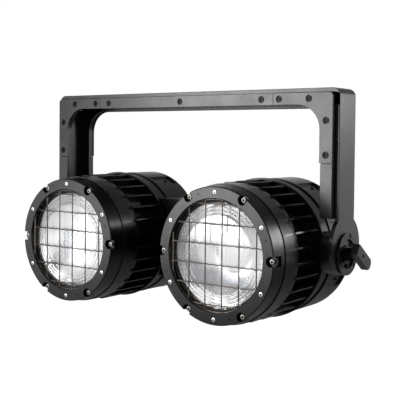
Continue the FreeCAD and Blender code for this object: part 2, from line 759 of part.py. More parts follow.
def grille():
    """The welded wire grille: upright rods on a thin rim, and level rods on the upright ones."""
    seat = GRILLE_WIRE_RADIUS * WELD_SHARE
    upright_y = GRILLE_Y - seat
    level_y = upright_y - 2 * seat
    pieces = [tube(BEZEL_OPENING + GRILLE_RIM, BEZEL_OPENING - GRILLE_LIP, GRILLE_RIM_THICK,
                   lamp_point(0, GRILLE_Y, 0), Y_AXIS)]
    for x in crossings(GRILLE_SHIFT_X):
        half = wire_half_length(x)
        pieces.append(cylinder(GRILLE_WIRE_RADIUS, 2 * half, lamp_point(x, upright_y, -half), Z_AXIS))
    for z in crossings(GRILLE_SHIFT_Z):
        half = wire_half_length(z)
        pieces.append(cylinder(GRILLE_WIRE_RADIUS, 2 * half, lamp_point(-half, level_y, z), X_AXIS))
    return joined(pieces)


def wire_half_length(offset):
    """How far a wire at that offset reaches to each side, inside the bezel's opening."""
    reach = BEZEL_OPENING - SEAT_GAP
    return math.sqrt(reach ** 2 - (abs(offset) + GRILLE_WIRE_RADIUS) ** 2)


def crossings(shift):
    """The offsets of the parallel wires from the lamp's axis."""
    room = BEZEL_OPENING - SEAT_GAP - GRILLE_WIRE_RADIUS - abs(shift)
    count = int(2 * room / GRILLE_PITCH) + 1
    first = -(count - 1) / 2
    return [shift + (first + i) * GRILLE_PITCH for i in range(count)]


def lens():
    """The front glass, slightly domed towards the front inside its gasket."""
    radius = LENS_RADIUS
    rim = radius - LENS_LEDGE
    sphere_radius = (rim ** 2 + LENS_BULGE ** 2) / (2 * LENS_BULGE)
    disc = cylinder(radius, LENS_EDGE, lamp_point(0, LENS_FRONT, 0), Y_AXIS)
    ball = Part.makeSphere(sphere_radius, lamp_point(0, LENS_FRONT - LENS_BULGE + sphere_radius, 0))
    core = cylinder(rim, LENS_BULGE + LENS_EDGE / 2, lamp_point(0, LENS_FRONT - LENS_BULGE, 0), Y_AXIS)
    dome = ball.common(core)
    return disc.fuse(dome).removeSplitter()


def lens_gasket():
    """The black ring in front of the lens edge."""
    return tube(LENS_RADIUS, LENS_RADIUS - LENS_LEDGE + SEAT_GAP, GASKET_THICK,
                lamp_point(0, LENS_FRONT - GASKET_THICK, 0), Y_AXIS)


def reflector():
    """The bowl between the lens ledge and the LED disc, curved in section."""
    mouth = LENS_RADIUS - LENS_LEDGE - SEAT_GAP
    front = LENS_REAR + SEAT_GAP
    rear = SINK_CUP_FLOOR - LED_BOARD_THICK
    shares = REFLECTOR_SECTION_SHARES
    inside = [(REFLECTOR_THROAT + (mouth - REFLECTOR_THICK - REFLECTOR_THROAT) * across,
               front + (rear - front) * deep) for across, deep in shares]
    outside = [(radius + REFLECTOR_THICK, y) for radius, y in reversed(inside)]
    return revolved(inside + outside)


def led_module():
    """The LED board with its round emitter, on the heat sink's floor."""
    half = LED_BOARD_SIZE / 2
    board = Part.makeBox(LED_BOARD_SIZE, LED_BOARD_THICK, LED_BOARD_SIZE,
                         lamp_point(-half, SINK_CUP_FLOOR - LED_BOARD_THICK, -half))
    disc = cylinder(LED_DISC_RADIUS, LED_BOARD_THICK + LED_DISC_THICK,
                    lamp_point(0, SINK_CUP_FLOOR - LED_BOARD_THICK - LED_DISC_THICK, 0), Y_AXIS)
    return board.fuse(disc).removeSplitter()


def radial_block(inner, outer, thick, y0, y1, degrees):
    """A flat rib standing out from the right lamp's axis at an angle."""
    rib = block(inner, outer, y0, y1, -thick / 2, thick / 2)
    rib.rotate(Vector(0, 0, 0), Y_AXIS, -degrees)
    rib.translate(lamp_point(0, 0, 0))
    return rib


def heat_sink():
    """The ribbed body: a front cup, a rounded shoulder, long ribs, a rear flange and inner fins."""
    cup = SINK_FRONT_RADIUS - SINK_CUP_WALL
    core = SINK_CORE_RADIUS
    bore = core - SINK_CORE_WALL
    flange_front = SINK_REAR - FLANGE_THICK
    floor_rear = SINK_CUP_FLOOR + SINK_FLOOR
    shoulder = RIB_START + SHOULDER_LENGTH
    drop = SHOULDER_RADIUS - core
    across, deep = on_circle(drop, 45.0)
    crown = (core + across, shoulder + deep)
    body = revolved([(0, SINK_CUP_FLOOR), (cup, SINK_CUP_FLOOR), (cup, SINK_FRONT),
                     (SINK_FRONT_RADIUS, SINK_FRONT), (SINK_FRONT_RADIUS, RIB_START),
                     (SHOULDER_RADIUS, RIB_START), (SHOULDER_RADIUS, shoulder), (core, shoulder + drop),
                     (core, flange_front), (LAMP_RADIUS, flange_front), (LAMP_RADIUS, SINK_REAR),
                     (bore, SINK_REAR), (bore, floor_rear), (0, floor_rear)], [(6, crown)])
    pieces = [body]
    rib_end = flange_front + FLANGE_THICK / 2
    envelope = revolved([(0, RIB_START), (SINK_FRONT_RADIUS, RIB_START), (RIB_RADIUS, RIB_START + RIB_LEAD),
                         (RIB_RADIUS, rib_end), (0, rib_end)])
    for degrees in around(RIB_COUNT, RIB_ANGLE):
        rib = radial_block(core - SINK_CORE_WALL / 2, LAMP_RADIUS, RIB_THICK, RIB_START, rib_end, degrees)
        pieces.append(rib.common(envelope))
    fin_rear = SINK_REAR - SINK_FIN_RECESS
    pieces.append(cylinder(INNER_HUB_RADIUS, fin_rear - floor_rear + SINK_FLOOR / 2,
                           lamp_point(0, floor_rear - SINK_FLOOR / 2, 0), Y_AXIS))
    for degrees in around(INNER_FIN_COUNT):
        pieces.append(radial_block(INNER_HUB_RADIUS / 2, bore + SINK_CORE_WALL / 2, INNER_FIN_THICK,
                                   floor_rear - SINK_FLOOR / 2, fin_rear, degrees))
    return joined(pieces)


def pocket(degrees):
    """One curved pocket in the side of the rear cap."""
    start = CAP_STEP + POCKET_SETBACK
    inner = CAP_RADIUS - POCKET_DEPTH
    ring = tube(CAP_RADIUS + OVERRUN, inner, POCKET_LENGTH, lamp_point(0, start, 0), Y_AXIS)
    reach = CAP_RADIUS * 2
    half = math.radians(POCKET_SWEEP_ANGLE / 2)
    wedge_points = [Vector(0, start, 0), Vector(reach, start, -reach * math.tan(half)),
                    Vector(reach, start, reach * math.tan(half))]
    wedge = Part.Face(Part.makePolygon(wedge_points + wedge_points[:1])).extrude(Vector(0, POCKET_LENGTH, 0))
    wedge.rotate(Vector(0, 0, 0), Y_AXIS, -degrees)
    wedge.translate(lamp_point(0, 0, 0))
    return ring.common(wedge)


def cap_screw_seats():
    """The seats and directions of the screws in the pockets of the right lamp's cap."""
    seats = []
    for degrees in around(POCKET_COUNT, POCKET_ANGLE):
        x, z = on_circle(1.0, degrees)
        out = Vector(x, 0, z)
        middle = lamp_point(0, CAP_STEP + CAP_SCREW_SETBACK, 0)
        seats.append((middle + out * (CAP_RADIUS - POCKET_DEPTH), out))
    return seats


def rear_cap():
    """The rear shell: a collar, a groove, a wider part with eight pockets, and a back with a fan opening."""
    bore = CAP_RADIUS - CAP_WALL
    collar_bore = CAP_COLLAR_RADIUS - CAP_WALL + POCKET_DEPTH / 2
    flat = CAP_RADIUS - CAP_EDGE_RADIUS
    cap = revolved([(collar_bore, SINK_REAR), (CAP_COLLAR_RADIUS, SINK_REAR),
                    (CAP_COLLAR_RADIUS, CAP_STEP - CAP_GROOVE),
                    (CAP_COLLAR_RADIUS - CAP_GROOVE, CAP_STEP - CAP_GROOVE),
                    (CAP_COLLAR_RADIUS - CAP_GROOVE, CAP_STEP), (CAP_RADIUS, CAP_STEP),
                    (CAP_RADIUS, CAP_REAR - CAP_EDGE_RADIUS), (flat, CAP_REAR), (FAN_OPENING, CAP_REAR),
                    (FAN_OPENING, CAP_REAR - CAP_BACK), (bore, CAP_REAR - CAP_BACK), (bore, CAP_STEP),
                    (collar_bore, CAP_STEP)])
    for degrees in around(POCKET_COUNT, POCKET_ANGLE):
        cap = cap.cut(pocket(degrees))
    for seat, out in cap_screw_seats():
        cap = cap.cut(cylinder(CAP_SHANK_RADIUS + SHAFT_GAP, CAP_WALL + OVERRUN, seat, out * -1))
    return cap


def cap_screws():
    """The screws in the pockets of both rear caps."""
    screws = []
    for seat, out in cap_screw_seats():
        one = screw(CAP_HEAD_RADIUS, CAP_HEAD_HEIGHT, CAP_SHANK_RADIUS, CAP_SHANK_LENGTH, seat, out)
        screws.extend([one, on_left_lamp(one)])
    return Part.makeCompound(screws)


def fan_guard():
    """The moulded finger guard inside the cap's back, with the fan motor and its shaft."""
    front = CAP_REAR - CAP_BACK - FAN_RIM_THICK
    start = lamp_point(0, front, 0)
    pieces = [tube(FAN_OPENING + FAN_RIM, FAN_OPENING - FAN_RING_WIDTH, FAN_RIM_THICK, start, Y_AXIS)]
    span = FAN_OPENING - FAN_MOTOR_RADIUS
    for i in range(FAN_RING_COUNT):
        middle = FAN_MOTOR_RADIUS + span * (i + 1) / (FAN_RING_COUNT + 1)
        half = FAN_RING_WIDTH / 2
        pieces.append(tube(middle + half, middle - half, FAN_STRUT_THICK, start, Y_AXIS))
    pieces.append(cylinder(FAN_MOTOR_RADIUS, FAN_MOTOR_LENGTH,
                           lamp_point(0, front + FAN_STRUT_THICK - FAN_MOTOR_LENGTH, 0), Y_AXIS))
    for degrees in around(FAN_STRUT_COUNT, 45.0):
        pieces.append(radial_block(FAN_MOTOR_RADIUS / 2, FAN_OPENING, FAN_STRUT_WIDTH, front,
                                   front + FAN_STRUT_THICK, degrees))
    motor_front = front + FAN_STRUT_THICK - FAN_MOTOR_LENGTH
    pieces.append(cylinder(FAN_SHAFT_RADIUS, FAN_SHAFT_LENGTH,
                           lamp_point(0, motor_front - FAN_SHAFT_LENGTH, 0), Y_AXIS))
    return joined(pieces)


def fan_rotor():
    """The fan's hub and pitched blades, turning on the guard's shaft."""
    rear = CAP_REAR - CAP_BACK - FAN_RIM_THICK + FAN_STRUT_THICK - FAN_MOTOR_LENGTH - SEAT_GAP
    front = rear - ROTOR_HUB_LENGTH
    pieces = [cylinder(ROTOR_HUB_RADIUS, ROTOR_HUB_LENGTH, Vector(0, front, 0), Y_AXIS)]
    middle = (front + rear) / 2
    half = ROTOR_BLADE_WIDTH / 2
    thick = ROTOR_BLADE_THICK / 2
    for degrees in around(ROTOR_BLADES):
        blade = block(ROTOR_HUB_RADIUS / 2, ROTOR_RADIUS, -thick, thick, -half, half)
        blade.rotate(Vector(0, 0, 0), X_AXIS, ROTOR_BLADE_PITCH)
        blade.rotate(Vector(0, 0, 0), Y_AXIS, degrees)
        blade.translate(Vector(0, middle, 0))
        pieces.append(blade)
    rotor = joined(pieces)
    bore_start = Vector(0, front - OVERRUN, 0)
    bore_length = ROTOR_HUB_LENGTH + 2 * OVERRUN
    rotor = rotor.cut(cylinder(FAN_SHAFT_RADIUS + SHAFT_GAP, bore_length, bore_start, Y_AXIS))
    rotor.translate(lamp_point(0, 0, 0))
    return rotor


def tilt_hub():
    """The right hub: a thick round boss on the cap's side, with the spigot that turns in the arm."""
    start = LAMP_X + CAP_COLLAR_RADIUS - HUB_RADIUS / 2
    boss = cylinder(HUB_RADIUS, HUB_END - start, Vector(start, 0, TILT_Z), X_AXIS)
    spigot_end = STRAP_OUTSIDE - SEAT_GAP
    spigot = cylinder(SPIGOT_RADIUS, spigot_end - HUB_END + SPIGOT_RADIUS,
                      Vector(HUB_END - SPIGOT_RADIUS, 0, TILT_Z), X_AXIS)
    hub = boss.fuse(spigot)
    stud_start = HUB_END - STUD_ENGAGEMENT - SEAT_GAP
    hub = hub.cut(cylinder(STUD_RADIUS + SHAFT_GAP, spigot_end - stud_start + OVERRUN,
                           Vector(stud_start, 0, TILT_Z), X_AXIS))
    lengths = ((LAMP_RADIUS + SEAT_GAP, FACE_Y, SINK_REAR + SEAT_GAP),
               (CAP_COLLAR_RADIUS + HUB_SEAT_GAP, SINK_REAR - OVERRUN, CAP_STEP),
               (CAP_RADIUS + HUB_SEAT_GAP, CAP_STEP - HUB_SEAT_GAP, CAP_REAR))
    for radius, front, rear in lengths:
        hub = hub.cut(cylinder(radius, rear - front, lamp_point(0, front, 0), Y_AXIS))
    return hub.removeSplitter()


def make_lamps():
    """Write the pieces of both lamps."""
    makers = (("bezel", bezel), ("grille", grille), ("lens", lens), ("lens_gasket", lens_gasket),
              ("lens_barrel", lens_barrel), ("reflector", reflector), ("led_module", led_module),
              ("heat_sink", heat_sink), ("rear_cap", rear_cap), ("fan_guard", fan_guard),
              ("fan_rotor", fan_rotor))
    for name, maker in makers:
        right = maker()
        save(name + "_right", right)
        save(name + "_left", on_left_lamp(right))
    save("tilt_hub_right", tilt_hub())
    save("tilt_hub_left", mirrored_x(tilt_hub()))
    save("bezel_screws", bezel_screws())
    save("captive_screws", captive_screws())
    save("cap_screws", cap_screws())


# Centre box

def hollowed_prism(half_width, half_height, y0, y1, clearance):
    """A prism between the lamps, its sides hollowed to follow both rear caps."""
    body = block(-half_width, half_width, y0, y1, TILT_Z - half_height, TILT_Z + half_height)
    for side in (-1, 1):
        start = Vector(side * LAMP_X, y0 - OVERRUN, TILT_Z)
        body = body.cut(cylinder(CAP_RADIUS + clearance, y1 - y0 + 2 * OVERRUN, start, Y_AXIS))
    return body


def box_housing():
    """The open-backed shell of the centre box."""
    outside = hollowed_prism(BOX_HALF_WIDTH, BOX_HALF_HEIGHT, -BOX_FRONT, BOX_REAR, SEAT_GAP)
    inside = hollowed_prism(BOX_HALF_WIDTH - BOX_WALL, BOX_HALF_HEIGHT - BOX_WALL, -BOX_FRONT + BOX_WALL,
                            BOX_REAR + OVERRUN, SEAT_GAP + BOX_WALL)
    return outside.cut(inside)


def button_places():
    """The button axes on the rear panel, as (x, z)."""
    first = -(BUTTON_COUNT - 1) / 2
    return [((first + i) * BUTTON_PITCH, TILT_Z + DISPLAY_RISE - BUTTON_DROP) for i in range(BUTTON_COUNT)]


def socket_places():
    """The four sockets of the rear panel, as name, x, z, bore radius and contact count."""
    half = SOCKET_SPACING / 2
    return (("data_inlet", half, TILT_Z - DATA_DROP, DATA_BORE_RADIUS, DATA_CONTACTS),
            ("data_outlet", -half, TILT_Z - DATA_DROP, DATA_BORE_RADIUS, DATA_CONTACTS),
            ("power_inlet", half, TILT_Z - DATA_DROP - POWER_DROP, POWER_BORE_RADIUS, POWER_CONTACTS),
            ("power_outlet", -half, TILT_Z - DATA_DROP - POWER_DROP, POWER_BORE_RADIUS, POWER_CONTACTS))


def rear_panel():
    """The panel on the back of the centre box, with its cut-outs."""
    panel = hollowed_prism(BOX_HALF_WIDTH, BOX_HALF_HEIGHT, BOX_REAR, PANEL_REAR, SEAT_GAP)
    front = BOX_REAR - OVERRUN
    through = PANEL_THICK + 2 * OVERRUN
    half_w = DISPLAY_WIDTH / 2 + PLATE_GAP / 2
    half_h = DISPLAY_HEIGHT / 2 + PLATE_GAP / 2
    middle = TILT_Z + DISPLAY_RISE
    panel = panel.cut(block(-half_w, half_w, front, front + through, middle - half_h, middle + half_h))
    for x, z in button_places():
        panel = panel.cut(cylinder(BUTTON_STEM_RADIUS + SHAFT_GAP, through, Vector(x, front, z), Y_AXIS))
    for name, x, z, bore, contacts in socket_places():
        panel = panel.cut(cylinder(SOCKET_BODY_RADIUS + SHAFT_GAP, through, Vector(x, front, z), Y_AXIS))
    return panel


def display_window():
    """The clear window of the display, seated in its cut-out with a lip behind the panel."""
    middle = TILT_Z + DISPLAY_RISE
    half_w = DISPLAY_WIDTH / 2
    half_h = DISPLAY_HEIGHT / 2
    window = block(-half_w, half_w, BOX_REAR, PANEL_REAR, middle - half_h, middle + half_h)
    lip = DISPLAY_DEPTH
    back = block(-half_w - lip, half_w + lip, BOX_REAR - DISPLAY_DEPTH, BOX_REAR,
                 middle - half_h - lip, middle + half_h + lip)
    return window.fuse(back).removeSplitter()


def button(x, z):
    """A push button: a round cap clear of the panel, and a stem through it with a retaining head."""
    cap_front = PANEL_REAR + BUTTON_STANDOFF
    cap = cylinder(BUTTON_RADIUS, BUTTON_HEIGHT, Vector(x, cap_front, z), Y_AXIS)
    stem_front = cap_front - BUTTON_STEM_LENGTH
    stem = cylinder(BUTTON_STEM_RADIUS, BUTTON_STEM_LENGTH, Vector(x, stem_front, z), Y_AXIS)
    head_length = BUTTON_STEM_LENGTH - BUTTON_STANDOFF - PANEL_THICK - SEAT_GAP
    head = cylinder(BUTTON_RADIUS, head_length, Vector(x, stem_front, z), Y_AXIS)
    return cap.fuse([stem, head]).removeSplitter()


def socket(x, z, bore, contacts):
    """A round panel socket: square flange, body through the panel, bore and contact pins."""
    half_w = SOCKET_FLANGE_WIDTH / 2
    half_h = SOCKET_FLANGE_HEIGHT / 2
    rear = PANEL_REAR + SOCKET_FLANGE_THICK
    flange = block(x - half_w, x + half_w, PANEL_REAR, rear, z - half_h, z + half_h)
    body = cylinder(SOCKET_BODY_RADIUS, SOCKET_BODY_LENGTH, Vector(x, rear - SOCKET_BODY_LENGTH, z), Y_AXIS)
    shell = flange.fuse(body).removeSplitter()
    floor = rear - SOCKET_BORE_DEPTH
    shell = shell.cut(cylinder(bore, SOCKET_BORE_DEPTH + OVERRUN, Vector(x, floor, z), Y_AXIS))
    pins = []
    for degrees in around(contacts, 90.0):
        across, up = on_circle(CONTACT_CIRCLE, degrees)
        pins.append(cylinder(CONTACT_RADIUS, CONTACT_LENGTH + OVERRUN / 2,
                             Vector(x + across, floor - OVERRUN / 2, z + up), Y_AXIS))
    return shell.fuse(pins).removeSplitter()


def make_box():
    """Write the pieces of the centre box."""
    save("box_housing", box_housing())
    save("rear_panel", rear_panel())
    save("display_window", display_window())
    for number, (x, z) in enumerate(button_places(), 1):
        save("button_" + str(number), button(x, z))
    for name, x, z, bore, contacts in socket_places():
        save(name, socket(x, z, bore, contacts))


make_yoke()
make_pivots()
make_lamps()
make_box()
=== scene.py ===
"""Looks for a two-lamp stage strobe in its yoke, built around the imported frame.

Sizes in the classes are millimetres. Meshes are metres, in the frame's own axes:
+X along the beam, +Z up, the lamps facing -Y, and the origin at the middle rigging hole.
"""

import json
import logging
import math
from dataclasses import dataclass, field
from enum import Enum
from typing import Any, ClassVar, Mapping, Sequence

import bmesh
import bpy
from mathutils import Euler, Matrix, Vector

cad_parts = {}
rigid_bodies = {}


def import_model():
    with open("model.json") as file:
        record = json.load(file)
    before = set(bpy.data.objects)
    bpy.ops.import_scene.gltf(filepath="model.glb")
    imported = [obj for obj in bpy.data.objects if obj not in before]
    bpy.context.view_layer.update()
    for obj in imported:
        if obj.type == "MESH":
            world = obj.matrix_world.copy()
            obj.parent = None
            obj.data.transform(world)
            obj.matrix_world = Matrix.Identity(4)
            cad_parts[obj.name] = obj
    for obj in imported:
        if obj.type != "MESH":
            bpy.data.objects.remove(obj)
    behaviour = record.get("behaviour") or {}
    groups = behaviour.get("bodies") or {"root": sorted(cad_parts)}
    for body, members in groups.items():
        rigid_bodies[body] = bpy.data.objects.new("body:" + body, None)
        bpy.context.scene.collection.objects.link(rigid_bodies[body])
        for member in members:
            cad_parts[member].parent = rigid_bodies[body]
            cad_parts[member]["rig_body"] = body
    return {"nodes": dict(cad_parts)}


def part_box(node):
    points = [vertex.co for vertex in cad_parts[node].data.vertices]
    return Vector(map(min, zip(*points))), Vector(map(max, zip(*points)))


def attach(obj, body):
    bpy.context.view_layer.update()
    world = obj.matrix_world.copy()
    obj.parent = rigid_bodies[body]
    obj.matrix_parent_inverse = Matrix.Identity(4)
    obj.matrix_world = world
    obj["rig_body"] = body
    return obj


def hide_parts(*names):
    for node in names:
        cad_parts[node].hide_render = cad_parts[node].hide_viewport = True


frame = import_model()

LOG = logging.getLogger("strobe")
MM = 0.001
WELD = 1e-6  # points that are nearer become one, in metres
SLIVER = 1e-7  # edges that are shorter go, in metres
LAMP_X = 171.2  # a lamp's axis from the middle of the part
LAMP_Z = -280.5
WHITE = "#FFFFFF"
CLOUD_LEVELS = (0.3, 0.7)  # most of a noise texture's values lie between these
HEAD_SIDES = 24
# shares of a cap head's radius, and the last one of its height
HEAD_EDGE = 0.14
HEAD_RIM = 0.36
SOCKET_DRAFT = 0.02
SOCKET_DEPTH = 0.6
FACING = -0.9  # a face whose normal's y is lower faces the front


class Side(Enum):
    """The two lamps, by the sign of their X."""

    LEFT = -1
    RIGHT = 1

    @property
    def word(self) -> str:
        """The ending of this side's node names."""
        return self.name.lower()


def linear(hex_colour: str) -> tuple[float, float, float, float]:
    """Turns an sRGB hex value into linear light.

    Args:
        hex_colour: six hex digits, with or without a hash sign.

    Returns:
        Linear red, green, blue and an alpha of 1.
    """
    digits = hex_colour.lstrip("#")
    shares = [int(digits[i:i + 2], 16) / 255 for i in (0, 2, 4)]
    made = [s / 12.92 if s <= 0.04045 else ((s + 0.055) / 1.055) ** 2.4 for s in shares]
    return (made[0], made[1], made[2], 1.0)


def add_node(tree: bpy.types.NodeTree, kind: str, wires: Mapping[Any, Any] | None = None,
             **settings: Any) -> bpy.types.Node:
    """Adds a shader node with its settings, and joins or sets its inputs.

    Args:
        tree: the node tree that gets the node.
        kind: the node's type name.
        wires: an output socket or a plain value for each input, by name or place.
        settings: attributes of the node.

    Returns:
        The new node.
    """
    node = tree.nodes.new(kind)
    for name, value in settings.items():
        setattr(node, name, value)
    for socket, value in (wires or {}).items():
        if isinstance(value, bpy.types.NodeSocket):
            tree.links.new(value, node.inputs[socket])
        else:
            node.inputs[socket].default_value = value
    return node


def per_metre(size_mm: float) -> float:
    """The noise scale whose features are size_mm across."""
    return 1 / (size_mm * MM)


@dataclass(frozen=True)
class Finish:
    """A surface: a common material, and how its surface was made."""

    name: str
    slot: str
    base: str
    roughness: float
    metallic: float = 0.0
    ior: float = 1.5
    specular: float = 0.5

    made: ClassVar[dict[str, bpy.types.Material]] = {}

    def material(self) -> bpy.types.Material:
        """Builds the material the first time, and gives it back after that."""
        if self.name not in Finish.made:
            mat = bpy.data.materials.new(self.name)
            mat.use_nodes = True
            tree = mat.node_tree
            shader = tree.nodes["Principled BSDF"]
            shader.inputs["Base Color"].default_value = linear(self.base)
            shader.inputs["Roughness"].default_value = self.roughness
            shader.inputs["Metallic"].default_value = self.metallic
            shader.inputs["IOR"].default_value = self.ior
            shader.inputs["Specular IOR Level"].default_value = self.specular
            mat.diffuse_color = linear(self.base)
            coords = add_node(tree, "ShaderNodeTexCoord").outputs["Object"]
            self.pattern(tree, shader, coords)
            Finish.made[self.name] = mat
        return Finish.made[self.name]

    def pattern(self, tree: bpy.types.NodeTree, shader: bpy.types.Node,
                coords: bpy.types.NodeSocket) -> None:
        """Draws what the eye sees in the surface; a plain finish has nothing."""

    def tinted(self, tree: bpy.types.NodeTree, shader: bpy.types.Node,
               share: bpy.types.NodeSocket, other: str) -> None:
        """Mixes a second colour into the base, by a share that varies over the surface."""
        mixed = add_node(tree, "ShaderNodeMix",
                         {"Factor": share, "A": linear(self.base), "B": linear(other)},
                         data_type="RGBA")
        tree.links.new(mixed.outputs[2], shader.inputs["Base Color"])

    def uneven(self, tree: bpy.types.NodeTree, shader: bpy.types.Node,
               coords: bpy.types.NodeSocket, size_mm: float, spread: tuple[float, float]) -> None:
        """Lets the gloss vary slowly over the surface.

        Args:
            tree: the material's node tree.
            shader: the shader whose roughness varies.
            coords: where the pattern is read.
            size_mm: how wide the soft patches are.
            spread: how far the roughness goes below and above the finish's own.
        """
        cloud = add_node(tree, "ShaderNodeTexNoise",
                         {"Vector": coords, "Scale": per_metre(size_mm), "Detail": 3.0})
        ranged = add_node(tree, "ShaderNodeMapRange",
                          {"Value": cloud.outputs["Fac"], "From Min": CLOUD_LEVELS[0],
                           "From Max": CLOUD_LEVELS[1], "To Min": self.roughness - spread[0],
                           "To Max": self.roughness + spread[1]})
        tree.links.new(ranged.outputs["Result"], shader.inputs["Roughness"])

    def relief(self, tree: bpy.types.NodeTree, shader: bpy.types.Node,
               height: bpy.types.NodeSocket, depth_mm: float, strength: float) -> None:
        """Turns a height into the surface's fine relief."""
        bump = add_node(tree, "ShaderNodeBump",
                        {"Height": height, "Distance": depth_mm * MM, "Strength": strength})
        tree.links.new(bump.outputs["Normal"], shader.inputs["Normal"])


@dataclass(frozen=True)
class PowderCoat(Finish):
    """Polyester powder baked on bar and plate: an even satin with a faint orange peel."""

    peel_mm: float = 2.4
    peel_gain: float = 0.45
    peel_depth_mm: float = 0.03
    peel_strength: float = 0.35
    patch_mm: float = 70.0
    gloss_spread: tuple[float, float] = (0.03, 0.04)
    tint: str = "#202225"

    def pattern(self, tree: bpy.types.NodeTree, shader: bpy.types.Node,
                coords: bpy.types.NodeSocket) -> None:
        """Draws the peel, coarser than the real 1 mm so that it shows, and patches of gloss."""
        peel = add_node(tree, "ShaderNodeTexNoise",
                        {"Vector": coords, "Scale": per_metre(self.peel_mm), "Detail": 2.0,
                         "Roughness": self.peel_gain})
        self.relief(tree, shader, peel.outputs["Fac"], self.peel_depth_mm, self.peel_strength)
        patch = add_node(tree, "ShaderNodeTexNoise",
                         {"Vector": coords, "Scale": per_metre(self.patch_mm), "Detail": 2.0})
        self.tinted(tree, shader, patch.outputs["Fac"], self.tint)
        self.uneven(tree, shader, coords, self.patch_mm / 2, self.gloss_spread)


@dataclass(frozen=True)
class CastCoat(PowderCoat):
    """Black coat on die-cast aluminium: the casting's fine sand grain shows through it."""

    grain_mm: float = 0.9
    grain_gain: float = 0.6

    def pattern(self, tree: bpy.types.NodeTree, shader: bpy.types.Node,
                coords: bpy.types.NodeSocket) -> None:
        """Adds the sand grain to the coat; real grain is 0.3 mm and wouldn't show."""
        super().pattern(tree, shader, coords)
        grain = add_node(tree, "ShaderNodeTexNoise",
                         {"Vector": coords, "Scale": per_metre(self.grain_mm), "Detail": 4.0,
                          "Roughness": self.grain_gain})
        peel = next(n for n in tree.nodes if n.bl_idname == "ShaderNodeBump")
        both = add_node(tree, "ShaderNodeMath",
                        {0: grain.outputs["Fac"], 1: peel.inputs["Height"].links[0].from_socket},
                        operation="ADD")
        tree.links.new(both.outputs["Value"], peel.inputs["Height"])


@dataclass(frozen=True)
class MachinedSteel(Finish):
    """Zinc-plated or blackened steel, turned or drawn: fine streaks that break up the shine."""

    streak_mm: float = 0.5
    streak_depth_mm: float = 0.02
    streak_strength: float = 0.2
    patch_mm: float = 3.0
    gloss_spread: tuple[float, float] = (0.06, 0.08)
    dull: str = "#8F8C86"

    def pattern(self, tree: bpy.types.NodeTree, shader: bpy.types.Node,
                coords: bpy.types.NodeSocket) -> None:
        """Draws the tool streaks and the slight dulling between them."""
        streak = add_node(tree, "ShaderNodeTexNoise",
                          {"Vector": coords, "Scale": per_metre(self.streak_mm), "Detail": 3.0})
        self.tinted(tree, shader, streak.outputs["Fac"], self.dull)
        self.relief(tree, shader, streak.outputs["Fac"], self.streak_depth_mm,
                    self.streak_strength)
        self.uneven(tree, shader, coords, self.patch_mm, self.gloss_spread)


@dataclass(frozen=True)
class MouldedPlastic(Finish):
    """Injection-moulded ABS or nylon with a fine spark-eroded grain."""

    grain_mm: float = 0.7
    grain_depth_mm: float = 0.03
    grain_strength: float = 0.25
    patch_mm: float = 12.0
    gloss_spread: tuple[float, float] = (0.05, 0.05)

    def pattern(self, tree: bpy.types.NodeTree, shader: bpy.types.Node,
                coords: bpy.types.NodeSocket) -> None:
        """Draws the mould's grain, and the slightly uneven gloss over it."""
        grain = add_node(tree, "ShaderNodeTexVoronoi",
                         {"Vector": coords, "Scale": per_metre(self.grain_mm)})
        self.relief(tree, shader, grain.outputs["Distance"], self.grain_depth_mm,
                    self.grain_strength)
        self.uneven(tree, shader, coords, self.patch_mm, self.gloss_spread)


@dataclass(frozen=True)
class SoftRubber(Finish):
    """Moulded EPDM rubber: deep black and dry, with a dusting of pale bloom."""

    bloom_mm: float = 5.0
    bloom_depth_mm: float = 0.05
    bloom_strength: float = 0.2
    bloom: str = "#1E1E1E"

    def pattern(self, tree: bpy.types.NodeTree, shader: bpy.types.Node,
                coords: bpy.types.NodeSocket) -> None:
        """Draws the bloom in small clouds."""
        cloud = add_node(tree, "ShaderNodeTexNoise",
                         {"Vector": coords, "Scale": per_metre(self.bloom_mm), "Detail": 4.0})
        self.tinted(tree, shader, cloud.outputs["Fac"], self.bloom)
        self.relief(tree, shader, cloud.outputs["Fac"], self.bloom_depth_mm, self.bloom_strength)


@dataclass(frozen=True)
class ClearGlass(Finish):
    """Pressed borosilicate glass: its satin back blurs the bowl behind it, its face is polished."""

    wave_mm: float = 26.0
    wave_depth_mm: float = 0.6
    wave_strength: float = 0.25
    polish: float = 0.12

    def pattern(self, tree: bpy.types.NodeTree, shader: bpy.types.Node,
                coords: bpy.types.NodeSocket) -> None:
        """Lets light through softly, and bends it a little."""
        shader.inputs["Transmission Weight"].default_value = 1.0
        shader.inputs["Coat Weight"].default_value = 1.0
        shader.inputs["Coat Roughness"].default_value = self.polish
        wave = add_node(tree, "ShaderNodeTexNoise",
                        {"Vector": coords, "Scale": per_metre(self.wave_mm), "Detail": 1.0})
        self.relief(tree, shader, wave.outputs["Fac"], self.wave_depth_mm, self.wave_strength)


